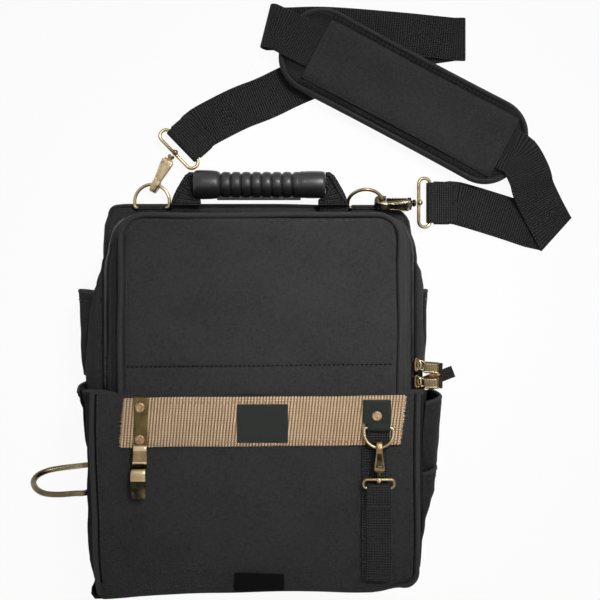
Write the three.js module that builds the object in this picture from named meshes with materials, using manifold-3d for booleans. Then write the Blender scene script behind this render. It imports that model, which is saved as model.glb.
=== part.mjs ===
// A zippered tool bag, lying on its back: +X is its right, +Y its top and +Z its front, in millimetres.
// The origin is the centre of the back panel's rear face.
import * as THREE from "three";
import { mergeVertices } from "three/addons/utils/BufferGeometryUtils.js";
import Module from "manifold-3d";

const wasm = await Module();
wasm.setup();

// Bag shell
const clearance = 0.3;
const shellHalfWidth = 130;
const shellTopY = 141;
const shellBaseY = -155;
const shellCorner = 26;
const baseCorner = 12;
const shellWall = 3;
const backHalfWidth = 131;
const backTopY = 155.3;
const backBaseY = -155.3;
const backCorner = 14;
const backThickness = 4;
const panelThickness = 3;
const frontZ = 100;
const hingeY = -2;
const pipingRadius = 2.3;

// Flap: its front is narrower than the shell, so its gusset leans in
const flapCentreX = 3;
const flapHalfWidth = 109;
const flapTopY = 139;
const flapCorner = 22;
const flapGussetZ = 58;
const flapWall = 2.5;

// Zipper
const tapeWidth = 7;
const tapeThickness = 1.2;
const coilWidth = 1.7;
const coilHeight = 1.1;
const flapCoilY = 26;
const sliderLength = 11;
const sliderWidth = 8;
const sliderPlate = 1.8;
const sliderLift = 3.5;
const lowerSliderY = 4.3;
const sliderPitch = 14;
const lugSize = 3;
const lugHeight = 3.4;
const pullLength = 16;
const pullWidth = 9.6;
const pullThickness = 1.6;
const earWidth = 1.6;
const earBack = 1;

// Webbing band and what it carries
const bandCentreX = 5.5;
const bandHalfWidth = 111.5;
const bandTopY = -4.7;
const bandHeight = 38.5;
const bandThickness = 2;
const labelCentreX = 6;
const labelWidth = 40;
const labelHeight = 30;
const labelThickness = 1;
const labelDrop = 1.5;
const clipX = -90;
const clipWidth = 11;
const clipThickness = 1.6;
const clipTopDrop = 0.8;
// The clip below the band: how far down each bend is and how high it stands
const clipBends = [[-1, 0], [1.5, 4.5], [13, 4.5], [16, 1], [19, 1.5], [24, 7], [27, 7], [42, 3.5]];
const clipRivetRadius = 3.85;
const clipRivetTop = 8;
const clipRivetBase = 5.2;
const rivetHeight = 1.4;
const baseTabCentreX = 5.5;
const baseTabWidth = 39;
const baseTabHeight = 10.5;
const tabThickness = 2;

// Tape strap on the front, with its ring and small hook
const tapeStrapX = 97;
const tapeStrapOffset = 3;
const tapeStrapWidth = 20;
const tapeStrapBaseY = -149;
const tapeWebbing = 1.6;
const frontRingHalfWidth = 11.4;
const frontRingLeg = 4;
const frontRingCorner = 2;
const frontRingWire = 1.1;
const frontRingDrop = 23.8;
const frontRingTilt = 10;
const ringTabRivetRadius = 4;
const ringTabRivetDrop = 14;
const smallHookScale = 0.75;
const smallEyeHalfWidth = 12;
const smallEyeDepth = 10;
const smallEyeCorner = 3;
const smallStemRadius = 1.3;
const smallEyeZ = 105.3;

// Top rings, hooks and eyes
const topRingLeftX = -94.8;
const topRingRightX = 92.5;
const topRingHalfWidth = 15.25;
const topRingLeg = 5.35;
const topRingWire = 1.5;
const topRingCorner = 2.5;
const topRingInset = 2.8;
const topRingZ = 6.9;
const topRingTabWidth = 24;
const topRingTabDepth = 14;
const topRingBarrel = 2.5;
const ringRun = 0.4;
const rightRingTilt = 45;
const rightContactReach = 6.5;
const rightHookDrop = 7;
const leftContactAngle = 76;
const leftHookAngle = 62;
const leftEyeAngle = 44;
const hookLength = 37;
const hookWidth = 7;
const hookRootWidth = 10.6;
const hookHeight = 12.4;
const hookBar = 3.8;
const throatHeight = 4.8;
const hookBoss = 7;
const hookTip = 4.6;
const gateThickness = 0.8;
const eyeHalfWidth = 21.5;
const eyeDepth = 13.6;
const eyeCorner = 5;
const eyeGap = 1.2;
const stemRadius = 1.8;
const stemLength = 1.6;
const eyeBarZ = 4.3;

// Carrying handle
const gripLength = 115;
const gripRadius = 12;
const gripBore = 4.2;
const gripCollar = 22;
const gripRibs = 8;
const gripGroove = 1.6;
const gripY = backTopY + 15.7;
const gripZ = 12.5;
const handleFootInner = 51.5;
const handleFootWidth = 22.5;
const handleWebbing = 4;
const handleCore = 6;
const handleLoop = 8;

// Shoulder strap and its pad
const strapWidth = 38;
const strapThickness = 1.7;
const strapBore = 1.9;
const padLength = 232;
const padWidth = 75.5;
const padCorner = 27;
const padLeftSlot = 31.6 - padLength / 2;
const padRightSlot = padLength / 2 - 19.3;
const padZ = 4.6;
const padBase = 7.6;
const padChannel = 2.4;
const padCover = 3.2;
const padRound = 2.4;
const padCentre = new THREE.Vector2(126.3, 250.5);
const padAngle = -28;
const strapExit = padLength / 2 - 12;
const rightFoldX = 180;
const rightFoldY = 302;
const leftFoldX = 10.6;
const leftFoldY = 311;
const leftCrease = 76;
const lastBendX = 241;
const lastBendY = 168;
const lastFoldX = 261;
const lastFoldY = 130.5;
const lastCrease = 48;
const lastBendZ = 7;
// Points that the strap passes: out to the right fold, back to the left one, down to the last bend and home
const strapOutward = [[-20, 240.5], [4.4, 250.2], [34.5, 264.3], [80, 282], [130, 295.5]];
const strapReturn = [[120, 307], [60, 311.5]];
const strapDescent = [[236, 180]];
const strapHomeward = [[240, 136.5], [211.5, 146]];
const foldReach = 10;

// Side pockets, each with its mouth and base along Y and how far it stands out at both
const pocketWall = 2;
const pocketSizes = {
  left_upper_pocket: { side: -1, mouthY: 80, baseY: 8, mouthDepth: 20, baseDepth: 15, lowZ: 8, highZ: 54 },
  left_lower_pocket: { side: -1, mouthY: -4, baseY: -50, mouthDepth: 14, baseDepth: 5, lowZ: 14, highZ: 84 },
  right_upper_pocket: { side: 1, mouthY: 80, baseY: 16, mouthDepth: 12, baseDepth: 11, lowZ: 8, highZ: 54 },
  right_middle_pocket: { side: 1, mouthY: -12, baseY: -66, mouthDepth: 18, baseDepth: 16, lowZ: 14, highZ: 84 },
  right_lower_pocket: { side: 1, mouthY: -69, baseY: -150, mouthDepth: 14, baseDepth: 3, lowZ: 14, highZ: 84 },
};
const innerPocketHalfWidth = 98;
const innerPocketTopY = -25;
const innerPocketBaseY = -138;
const innerPocketDepth = 13;

// Hammer loop on the left side
const hammerCentreY = -79;
const hammerCentreZ = 48.5;
const hammerTilt = 23.5;
const hammerPlateThickness = 2;
const hammerPlateWidth = 34;
const hammerPlateHeight = 54;
const hammerBarrelRadius = 4.5;
const hammerBarrelLength = 26;
const hammerWire = 2.5;
const hammerHalfWidth = 23;
const hammerReach = 48;
const hammerCorner = 5;
const hammerEndCorner = 21;

// Zipper end tab
const endTabReach = 33;
const endTabWidth = 10;
const endTabThickness = 2.4;
const endTabAngle = 12;

const materials = {
  fabric: material(0x26272a, 0.9, 0),
  binding: material(0x17181a, 0.85, 0),
  webbing: material(0x1b1c1e, 0.85, 0),
  tan: material(0xb8906f, 0.9, 0),
  patch: material(0x151515, 0.8, 0),
  brass: material(0xb59a5e, 0.35, 1),
  darkBrass: material(0x6e5c36, 0.4, 1),
  rubber: material(0x121213, 0.5, 0),
  zip: material(0x101011, 0.6, 0),
};

function material(color, roughness, metalness) {
  return new THREE.MeshStandardMaterial({ color, roughness, metalness });
}

const degrees = THREE.MathUtils.degToRad;
const upward = new THREE.Vector3(0, 0, 1);

function node(name, geometry, look) {
  const mesh = new THREE.Mesh(geometry, look);
  mesh.name = name;
  return mesh;
}

// Solids

function solidOf(geometry) {
  const bare = geometry.clone();
  bare.deleteAttribute("normal");
  bare.deleteAttribute("uv");
  const merged = mergeVertices(bare, 1e-4);
  const vertProperties = new Float32Array(merged.attributes.position.array);
  const triVerts = new Uint32Array(merged.index.array);
  return new wasm.Manifold(new wasm.Mesh({ numProp: 3, vertProperties, triVerts }));
}

function geometryOf(solid) {
  const { vertProperties, triVerts } = solid.getMesh();
  const geometry = new THREE.BufferGeometry();
  geometry.setAttribute("position", new THREE.BufferAttribute(new Float32Array(vertProperties), 3));
  geometry.setIndex(new THREE.BufferAttribute(new Uint32Array(triVerts), 1));
  return geometry;
}

function joined(first, ...others) {
  return geometryOf(others.reduce((sum, g) => sum.add(solidOf(g)), solidOf(first)));
}

function cut(first, ...tools) {
  return geometryOf(tools.reduce((rest, g) => rest.subtract(solidOf(g)), solidOf(first)));
}

function box(x0, x1, y0, y1, z0, z1) {
  const block = new THREE.BoxGeometry(x1 - x0, y1 - y0, z1 - z0);
  return block.translate((x0 + x1) / 2, (y0 + y1) / 2, (z0 + z1) / 2);
}

function cylinder(radius, length, sides = 20) {
  return new THREE.CylinderGeometry(radius, radius, length, sides);
}

function polygon(radius, sides) {
  return Array.from({ length: sides }, (_, k) => {
    const angle = (2 * Math.PI * (k + 0.5)) / sides;
    return new THREE.Vector2(radius * Math.cos(angle), radius * Math.sin(angle));
  });
}

function plate(shape, z0, z1, curveSegments = 6) {
  const depth = z1 - z0;
  return new THREE.ExtrudeGeometry(shape, { depth, bevelEnabled: false, curveSegments }).translate(0, 0, z0);
}

function roundedPlate(x0, x1, y0, y1, topRadius, baseRadius) {
  const shape = new THREE.Shape();
  shape.moveTo(x0 + baseRadius, y0);
  shape.lineTo(x1 - baseRadius, y0);
  if (baseRadius > 0) shape.absarc(x1 - baseRadius, y0 + baseRadius, baseRadius, -Math.PI / 2, 0);
  shape.lineTo(x1, y1 - topRadius);
  if (topRadius > 0) shape.absarc(x1 - topRadius, y1 - topRadius, topRadius, 0, Math.PI / 2);
  shape.lineTo(x0 + topRadius, y1);
  if (topRadius > 0) shape.absarc(x0 + topRadius, y1 - topRadius, topRadius, Math.PI / 2, Math.PI);
  shape.lineTo(x0, y0 + baseRadius);
  if (baseRadius > 0) shape.absarc(x0 + baseRadius, y0 + baseRadius, baseRadius, Math.PI, 1.5 * Math.PI);
  return shape;
}

// A closed solid through sections with equal numbers of corners, or a ring of them
function loft(sections, ring = false) {
  const corners = sections[0].length;
  const last = sections.length - 1;
  const index = [];
  for (let i = 0; i < last + (ring ? 1 : 0); i++) {
    const a = i * corners;
    const b = ((i + 1) % sections.length) * corners;
    for (let k = 0; k < corners; k++) {
      const next = (k + 1) % corners;
      index.push(a + k, b + k, b + next, a + k, b + next, a + next);
    }
  }
  if (!ring) {
    for (let k = 1; k < corners - 1; k++) {
      index.push(0, k, k + 1);
      index.push(last * corners, last * corners + k + 1, last * corners + k);
    }
  }
  const positions = sections.flat().flatMap((p) => p.toArray());
  const geometry = new THREE.BufferGeometry();
  geometry.setAttribute("position", new THREE.Float32BufferAttribute(positions, 3));
  geometry.setIndex(signedVolume(positions, index) < 0 ? index.reverse() : index);
  return geometry;
}

function signedVolume(positions, index) {
  const corner = (i) => new THREE.Vector3().fromArray(positions, 3 * index[i]);
  let volume = 0;
  for (let i = 0; i < index.length; i += 3) {
    volume += corner(i).dot(corner(i + 1).cross(corner(i + 2)));
  }
  return volume / 6;
}

// Outlines: lists of stations, each a point with its outward normal in the XY plane

// An arch open at startY, closed and rounded at endY, which may lie above or below it
function arch(centreX, halfWidth, startY, endY, radius, cornerSteps = 6) {
  const up = Math.sign(endY - startY);
  const stations = [{ p: new THREE.Vector2(centreX + halfWidth, startY), n: new THREE.Vector2(1, 0) }];
  for (const side of [1, -1]) {
    for (let i = 0; i <= cornerSteps; i++) {
      const turn = (Math.PI / 2) * (i / cornerSteps);
      const angle = side > 0 ? turn : Math.PI / 2 + turn;
      const n = new THREE.Vector2(Math.cos(angle), up * Math.sin(angle));
      const centre = new THREE.Vector2(centreX + side * (halfWidth - radius), endY - up * radius);
      stations.push({ p: centre.addScaledVector(n, radius), n });
    }
  }
  stations.push({ p: new THREE.Vector2(centreX - halfWidth, startY), n: new THREE.Vector2(-1, 0) });
  return stations;
}

// A D: a straight bar on the X axis with short legs and a half circle above
function ringOutline(halfWidth, leg, cornerRadius, arcSteps = 14) {
  const points = [];
  for (let i = 0; i <= 3; i++) {
    const angle = -Math.PI / 2 + (Math.PI / 2) * (i / 3);
    const x = halfWidth - cornerRadius + cornerRadius * Math.cos(angle);
    points.push(new THREE.Vector2(x, cornerRadius + cornerRadius * Math.sin(angle)));
  }
  for (let i = 0; i <= arcSteps; i++) {
    const angle = Math.PI * (i / arcSteps);
    points.push(new THREE.Vector2(halfWidth * Math.cos(angle), leg + halfWidth * Math.sin(angle)));
  }
  for (let i = 0; i <= 3; i++) {
    const angle = Math.PI + (Math.PI / 2) * (i / 3);
    const x = -halfWidth + cornerRadius + cornerRadius * Math.cos(angle);
    points.push(new THREE.Vector2(x, cornerRadius + cornerRadius * Math.sin(angle)));
  }
  return closedStations(points);
}

// A rectangle with rounded corners, from x0 to x1 and twice halfWidth wide; the corners at x1 may be larger
function loopOutline(x0, x1, halfWidth, radius, endRadius = radius, steps = 4) {
  const corners = [
    [x1 - endRadius, -halfWidth + endRadius, -Math.PI / 2, endRadius],
    [x1 - endRadius, halfWidth - endRadius, 0, endRadius],
    [x0 + radius, halfWidth - radius, Math.PI / 2, radius],
    [x0 + radius, -halfWidth + radius, Math.PI, radius],
  ];
  const points = corners.flatMap(([x, y, from, turn]) =>
    Array.from({ length: steps + 1 }, (_, i) => {
      const angle = from + (Math.PI / 2) * (i / steps);
      return new THREE.Vector2(x + turn * Math.cos(angle), y + turn * Math.sin(angle));
    }),
  );
  return closedStations(points);
}

function closedStations(points) {
  return points.map((p, i) => {
    const before = points[(i + points.length - 1) % points.length];
    const after = points[(i + 1) % points.length];
    const along = after.clone().sub(before).normalize();
    return { p, n: new THREE.Vector2(along.y, -along.x) };
  });
}

// A round wire along an outline in the plane at height z
function wire(stations, z, radius, sides, ring) {
  const section = polygon(radius, sides);
  const rings = stations.map(({ p, n }) =>
    section.map((s) => new THREE.Vector3(p.x + n.x * s.x, p.y + n.y * s.x, z + s.y)),
  );
  return loft(rings, ring);
}

// A strip along two outlines, low and high: it spans from and to, distances up the slope (from the high
// edge where negative), and inner to outer, distances out from the slope
function strip(low, lowZ, high, highZ, from, to, inner, outer) {
  const sections = low.map(({ p, n }, i) => {
    const a = new THREE.Vector3(p.x, p.y, lowZ);
    const b = new THREE.Vector3(high[i].p.x, high[i].p.y, highZ);
    const slope = b.clone().sub(a);
    const length = slope.length();
    slope.normalize();
    const side = new THREE.Vector3(n.x, n.y, 0);
    const level = slope.dot(new THREE.Vector3(n.x, n.y, 0));
    const out = side.multiplyScalar(slope.z).add(new THREE.Vector3(0, 0, -level));
    const at = (t, offset) => {
      const along = t < 0 ? length + t : t;
      return a.clone().addScaledVector(slope, along).addScaledVector(out, offset);
    };
    return [at(from, inner), at(to, inner), at(to, outer), at(from, outer)];
  });
  return loft(sections);
}

// A flat ribbon through stations, each with its centre, the half width vector and its face normal
function ribbon(stations, thickness) {
  const half = thickness / 2;
  return loft(
    stations.map(({ c, w, n }) => [
      c.clone().add(w).addScaledVector(n, half),
      c.clone().sub(w).addScaledVector(n, half),
      c.clone().sub(w).addScaledVector(n, -half),
      c.clone().add(w).addScaledVector(n, -half),
    ]),
  );
}

// Shell

const gussetZ = backThickness + clearance;
const pipingZ = frontZ - pipingRadius + 0.5;
const gussetFrontZ = pipingZ - pipingRadius - clearance;
const lowerStartY = hingeY - clearance;
const upperStartY = hingeY + clearance;
const panelInset = pipingRadius + clearance;
const lowerPipingHalfWidth = shellHalfWidth - shellWall / 2;
const lowerPipingBaseY = shellBaseY + shellWall / 2;

function backPanel() {
  const shape = roundedPlate(-backHalfWidth, backHalfWidth, backBaseY, backTopY, backCorner, baseCorner);
  return plate(shape, 0, backThickness);
}

function gusset(startY, endY, radius, topZ) {
  const outline = arch(0, shellHalfWidth, startY, endY, radius);
  return strip(outline, gussetZ, outline, topZ, 0, topZ - gussetZ, -shellWall, 0);
}

function lowerFrontPanel() {
  const half = lowerPipingHalfWidth - panelInset;
  const corner = baseCorner - panelInset;
  const shape = roundedPlate(-half, half, lowerPipingBaseY + panelInset, lowerStartY, 0, corner);
  return plate(shape, frontZ - panelThickness, frontZ);
}

function lowerPiping() {
  const outline = arch(0, lowerPipingHalfWidth, lowerStartY, lowerPipingBaseY, baseCorner);
  return wire(outline, pipingZ, pipingRadius, 8, false);
}

function pocket({ side, mouthY, baseY, mouthDepth, baseDepth, lowZ, highZ }) {
  const wallX = shellHalfWidth + clearance;
  const outline = (inset, top, base) => {
    const shape = new THREE.Shape();
    shape.moveTo(side * wallX, top);
    shape.lineTo(side * (wallX + mouthDepth - inset), top);
    shape.lineTo(side * (wallX + Math.max(baseDepth - inset, 1)), base);
    shape.lineTo(side * wallX, base);
    return shape;
  };
  const outer = plate(outline(0, mouthY, baseY), lowZ, highZ);
  const hollow = outline(pocketWall, mouthY + 1, baseY + pocketWall);
  const inner = plate(hollow, lowZ + pocketWall, highZ - pocketWall);
  const opened = inner.clone().translate(-side * 0.5, 0, 0);
  return cut(outer, joined(inner, opened));
}

function innerPocket() {
  const half = innerPocketHalfWidth;
  const shell = box(-half, half, innerPocketBaseY, innerPocketTopY, gussetZ, gussetZ + innerPocketDepth);
  const hollow = box(
    -half + pocketWall,
    half - pocketWall,
    innerPocketBaseY + pocketWall,
    innerPocketTopY + 1,
    gussetZ - 1,
    gussetZ + innerPocketDepth - pocketWall,
  );
  return cut(shell, hollow);
}

// Flap and zipper

const rearArch = (startY) => arch(0, shellHalfWidth, startY, shellTopY, shellCorner);
const flapArch = (startY) => arch(flapCentreX, flapHalfWidth, startY, flapTopY, flapCorner);
const zipRear = { from: clearance, to: clearance + tapeWidth };
const zipMiddle = zipRear.to + clearance / 2;
const zipFlap = { from: zipMiddle + clearance / 2, to: zipMiddle + clearance / 2 + tapeWidth };

function onSlope(from, to, inner, outer, startY = upperStartY) {
  return strip(rearArch(startY), flapGussetZ, flapArch(startY), gussetFrontZ, from, to, inner, outer);
}

function coil(from, startY) {
  return onSlope(from, from + coilWidth, clearance, clearance + coilHeight, startY);
}

function flapPanel() {
  const half = flapHalfWidth - panelInset;
  const shape = roundedPlate(
    flapCentreX - half, flapCentreX + half, upperStartY, flapTopY - panelInset, flapCorner - panelInset, 0,
  );
  return plate(shape, frontZ - panelThickness, frontZ);
}

// The zipper's right side as a frame for the sliders: its middle line, the way up its slope and the way out
const rearFoot = new THREE.Vector3(shellHalfWidth, 0, flapGussetZ);
const flapFoot = new THREE.Vector3(flapCentreX + flapHalfWidth, 0, gussetFrontZ);
const slopeUp = flapFoot.clone().sub(rearFoot).normalize();
const slopeOut = new THREE.Vector3(slopeUp.z, 0, -slopeUp.x);
const zipLine = rearFoot.clone().addScaledVector(slopeUp, zipMiddle);
const lugOut = sliderLift + sliderPlate + lugHeight / 2;

function sliderGroup(name, centreY) {
  const group = new THREE.Group();
  group.position.set(zipLine.x, centreY, zipLine.z);
  group.quaternion.setFromRotationMatrix(
    new THREE.Matrix4().makeBasis(slopeUp, new THREE.Vector3(0, 1, 0), slopeOut.clone().negate()),
  );
  const half = sliderWidth / 2;
  const end = sliderLength / 2;
  const top = box(-half, half, -end, end, -sliderLift - sliderPlate, -sliderLift);
  const flange = box(-half, -half + 1.2, -end, end, -sliderLift - 0.2, -clearance);
  const side = lugSize / 2;
  const lug = box(-side, side, -side, side, -lugOut - lugHeight / 2, -sliderLift - 0.5);
  group.add(node(name, joined(top, flange, lug), materials.brass));
  return group;
}

function pull(name, centreY) {
  const pivot = zipLine.clone().addScaledVector(slopeOut, lugOut);
  const root = lugSize / 2 + 0.9;
  const earInner = lugSize / 2 + 0.4;
  const half = pullWidth / 2;
  const body = box(root, root + pullLength, -half, half, -pullThickness / 2, pullThickness / 2);
  const ears = [-1, 1].map((side) => {
    const y0 = side > 0 ? earInner : -earInner - earWidth;
    return box(-earBack, root + 0.5, y0, y0 + earWidth, -pullThickness / 2, pullThickness / 2);
  });
  const mesh = node(name, joined(body, ...ears), materials.darkBrass);
  mesh.position.set(pivot.x, centreY, pivot.z);
  return mesh;
}

function endTab() {
  const turn = degrees(endTabAngle);
  const foot = shellHalfWidth + clearance + (endTabWidth / 2) * Math.sin(turn);
  const geometry = box(0, endTabReach, -endTabWidth / 2, endTabWidth / 2, -endTabThickness, 0);
  return geometry.rotateZ(turn).translate(foot, upperStartY + endTabWidth / 2 - 1, flapGussetZ - 1);
}

// Front band

const bandZ = frontZ + clearance;
const bandFaceZ = bandZ + bandThickness;
const bandBaseY = bandTopY - bandHeight;
const onBandZ = bandFaceZ + clearance;

function disc(radius, x, y, z) {
  return cylinder(radius, rivetHeight, 16).rotateX(Math.PI / 2).translate(x, y, z + rivetHeight / 2);
}

// The clip's side view: flat on the band, a raised step, a dip, a ridge and a sloping end
function tapeClip() {
  const z = onBandZ + clipThickness / 2;
  const top = new THREE.Vector3(clipX, bandTopY - clipTopDrop, z);
  const bends = clipBends.map(([drop, height]) => new THREE.Vector3(clipX, bandBaseY - drop, z + height));
  const profile = [top, ...bends];
  const w = new THREE.Vector3(clipWidth / 2, 0, 0);
  const stations = profile.map((c, i) => {
    const before = profile[Math.max(i - 1, 0)];
    const after = profile[Math.min(i + 1, profile.length - 1)];
    const along = after.clone().sub(before).normalize();
    return { c, w, n: new THREE.Vector3(0, -along.z, along.y) };
  });
  return ribbon(stations, clipThickness);
}

const frontRingY = bandTopY - frontRingDrop;
const frontRingBore = frontRingWire + ringRun;
const frontBarrel = frontRingBore + 1.2;
const frontRingZ = onBandZ + frontBarrel;
const frontApex = frontRingLeg + frontRingHalfWidth;

// A barrel and its bore along the X axis, for a loop round a bar
function barrelX(radius, bore, width, x, y, z) {
  const along = (r, length) => cylinder(r, length).rotateZ(Math.PI / 2).translate(x, y, z);
  return { barrel: along(radius, width), bore: along(bore, width + 4) };
}

function ringTab() {
  const half = frontRingHalfWidth - frontRingCorner - clearance;
  const neckY = frontRingY + frontBarrel;
  const [x, z] = [tapeStrapX, onBandZ + tabThickness];
  const flat = box(x - half - 1, x + half + 1, neckY, bandTopY - 2, onBandZ, z);
  const neck = box(x - half, x + half, frontRingY, neckY + 1, onBandZ, z);
  const loop = barrelX(frontBarrel, frontRingBore, 2 * half, tapeStrapX, frontRingY, frontRingZ);
  return cut(joined(flat, neck, loop.barrel), loop.bore);
}

function frontRing() {
  const outline = ringOutline(frontRingHalfWidth, frontRingLeg, frontRingCorner);
  const ring = wire(outline, 0, frontRingWire, 8, true);
  return ring.rotateZ(Math.PI).rotateX(-degrees(frontRingTilt)).translate(tapeStrapX, frontRingY, frontRingZ);
}

function rearStrand() {
  const x = tapeStrapX - tapeStrapOffset;
  const half = tapeStrapWidth / 2;
  const z = frontZ + clearance;
  return box(x - half, x + half, tapeStrapBaseY, bandBaseY - clearance, z, z + tapeWebbing);
}

// The front strand, from its loop round the small eye's bar to the base
function frontStrand(bar) {
  const w = new THREE.Vector3(tapeStrapWidth / 2, 0, 0);
  const z = frontZ + 2 * clearance + 1.5 * tapeWebbing;
  const stations = [
    [bar.y - frontRingBore, bar.z - 0.6],
    [bar.y - 14, z],
    [tapeStrapBaseY, z],
  ].map(([y, height]) => ({ c: new THREE.Vector3(tapeStrapX, y, height), w, n: upward }));
  const width = 2 * (smallEyeHalfWidth - smallEyeCorner);
  const loop = barrelX(frontBarrel, frontRingBore, width, bar.x, bar.y, bar.z);
  return cut(joined(ribbon(stations, tapeWebbing), loop.barrel), loop.bore);
}

// Hooks, in their own frame: x runs from the swivel to the nose and y across the throat

const throatY = hookHeight - hookBar - throatHeight / 2;
const throatX = hookLength - hookBar - throatHeight / 2;
const contactX = throatX - 1.2;

function hookBody(scale) {
  const inner = throatHeight / 2;
  const outer = inner + hookBar;
  const shape = new THREE.Shape();
  shape.moveTo(0, 1.4);
  shape.lineTo(hookBoss, 1.4);
  shape.lineTo(hookBoss, throatY + inner - 1.5);
  shape.lineTo(hookBoss + 1.5, throatY + inner);
  shape.lineTo(throatX, throatY + inner);
  shape.absarc(throatX, throatY, inner, Math.PI / 2, -Math.PI / 2, true);
  shape.lineTo(throatX - hookTip, throatY - inner);
  shape.lineTo(throatX - hookTip, throatY - outer + 1);
  shape.lineTo(throatX - hookTip + 1, throatY - outer);
  shape.lineTo(throatX, throatY - outer);
  shape.absarc(throatX, throatY, outer, -Math.PI / 2, Math.PI / 2);
  shape.lineTo(hookBoss, throatY + outer);
  shape.lineTo(2, throatY + outer);
  shape.lineTo(0, throatY + outer - 2);
  return tapered(plate(shape, -0.5, 0.5, 4)).scale(scale, scale, scale);
}

// Widens a plate of unit width to the hook's, which is widest at the boss and tapers to the throat
function tapered(geometry) {
  const corners = geometry.attributes.position;
  for (let i = 0; i < corners.count; i++) {
    const x = corners.getX(i);
    const share = x < hookBoss ? x / hookBoss : Math.max(0, (throatX - x) / (throatX - hookBoss));
    corners.setZ(i, corners.getZ(i) * THREE.MathUtils.lerp(hookWidth, hookRootWidth, share));
  }
  return geometry;
}

function gateLeaf(scale) {
  const gap = clearance / scale;
  const x1 = throatX - hookTip - 1.2 * gap;
  const y1 = throatY - throatHeight / 2 - gateThickness / 2;
  const half = hookWidth / 2 - 1;
  return box(hookBoss + gap, x1, y1 - gateThickness, y1, -half, half).scale(scale, scale, scale);
}

// A hook and its gate with the ring's wire in the throat at contact: along runs from the swivel to the nose
function hookGroup(side, contact, along, across, scale) {
  const group = new THREE.Group();
  const basis = new THREE.Matrix4().makeBasis(along, across, along.clone().cross(across));
  group.quaternion.setFromRotationMatrix(basis);
  const offset = new THREE.Vector3(contactX * scale, throatY * scale, 0).applyQuaternion(group.quaternion);
  group.position.copy(contact).sub(offset);
  group.add(node(side.hook, hookBody(scale), materials.brass));
  group.add(node(side.gate, gateLeaf(scale), materials.darkBrass));
  return group;
}

function swivelPoint(contact, along, scale) {
  return contact.clone().addScaledVector(along, -contactX * scale);
}

// An eye: a wire loop on a stem that ends short of its hook. It runs from the swivel along a heading and down
function eyeFrame(swivel, heading, barZ, depth) {
  const drop = Math.asin((swivel.z - barZ) / depth);
  return new THREE.Matrix4()
    .makeTranslation(swivel)
    .multiply(new THREE.Matrix4().makeRotationZ(heading))
    .multiply(new THREE.Matrix4().makeRotationY(drop));
}

function eyeLoop(frame, depth, halfWidth, corner, wireRadius, stem) {
  const x0 = eyeGap + stemLength;
  const pin = cylinder(stem, stemLength, 12).rotateZ(Math.PI / 2).translate(eyeGap + stemLength / 2, 0, 0);
  const loop = wire(loopOutline(x0, depth, halfWidth, corner), 0, wireRadius, 8, true);
  return joined(loop, pin).applyMatrix4(frame);
}

const barOf = (frame, depth) => new THREE.Vector3(depth, 0, 0).applyMatrix4(frame);

// Top rings

const topRingY = backTopY - topRingInset;

function topRingTab(x) {
  const half = topRingTabWidth / 2;
  const baseY = backTopY - topRingTabDepth + clearance;
  const tab = box(x - half, x + half, baseY, topRingY, gussetZ, topRingZ + topRingBarrel);
  const loop = barrelX(topRingBarrel, topRingWire + ringRun, topRingTabWidth, x, topRingY, topRingZ);
  return cut(joined(tab, loop.barrel), loop.bore);
}

function topRing(x, tilt) {
  const ring = wire(ringOutline(topRingHalfWidth, topRingLeg, topRingCorner), 0, topRingWire, 8, true);
  return ring.rotateX(degrees(tilt)).translate(x, topRingY, topRingZ);
}

// Handle

function gripProfile() {
  const half = gripLength / 2;
  const ribPitch = (gripLength - 2 * gripCollar) / gripRibs;
  const points = [
    [gripBore, -half],
    [gripRadius - 2, -half],
    [gripRadius, -half + 2],
  ];
  for (let i = 0; i < gripRibs; i++) {
    const start = -half + gripCollar + i * ribPitch;
    points.push([gripRadius, start], [gripRadius - gripGroove, start + 0.15 * ribPitch]);
    points.push([gripRadius, start + 0.3 * ribPitch]);
  }
  points.push([gripRadius, half - 2], [gripRadius - 2, half], [gripBore, half], [gripBore, -half]);
  return points.map(([r, y]) => new THREE.Vector2(r, y));
}

function handleGrip() {
  return new THREE.LatheGeometry(gripProfile(), 16).rotateZ(-Math.PI / 2).translate(0, gripY, gripZ);
}

const handleFootY = backTopY + 0.6;

function handleStrap() {
  const footOuter = handleFootInner + handleFootWidth;
  const inner = gripLength / 2 + clearance;
  const half = handleCore / 2;
  const side = [
    [handleFootInner, handleFootY],
    [footOuter, handleFootY],
    [inner + handleLoop, gripY + half - 2],
    [inner, gripY + half + 3],
    [inner, gripY + half],
  ];
  const mirrored = side.map(([x, y]) => [-x, y]).reverse();
  const under = [
    [-inner, gripY - half],
    [inner, gripY - half],
  ];
  const legTop = gripY - gripRadius - 1;
  const shape = new THREE.Shape(
    [...side, ...mirrored, [-inner, legTop], ...under, [inner, legTop]].map(([x, y]) => new THREE.Vector2(x, y)),
  );
  return plate(shape, gripZ - handleWebbing / 2, gripZ + handleWebbing / 2);
}

function handleAnchor(side) {
  const middle = side * (handleFootInner + handleFootWidth / 2);
  const half = handleFootWidth / 2;
  return box(middle - half, middle + half, shellTopY + clearance, backTopY, gussetZ, gripZ - 0.5);
}

// Shoulder strap

const levelOne = clearance + strapThickness / 2;
const levelTwo = levelOne + strapThickness + clearance + 0.1;
const insideZ = padZ + padBase + padChannel / 2;
const strapHalf = strapWidth / 2;

// A point on the strap's way through the pad, at a distance along the pad from its centre
function padPoint(along) {
  const turn = degrees(padAngle);
  return [padCentre.x + along * Math.cos(turn), padCentre.y + along * Math.sin(turn), insideZ];
}

// Stations along points, cut square across; up is 1 where the ribbon lies face up and -1 where face down
function run(points, up) {
  return points.map((point, i) => {
    const before = points[Math.max(i - 1, 0)];
    const after = points[Math.min(i + 1, points.length - 1)];
    const along = new THREE.Vector3(after[0] - before[0], after[1] - before[1], 0).normalize();
    const n = upward.clone().multiplyScalar(up);
    return { c: new THREE.Vector3(...point), w: n.clone().cross(along).multiplyScalar(strapHalf), n };
  });
}

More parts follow.
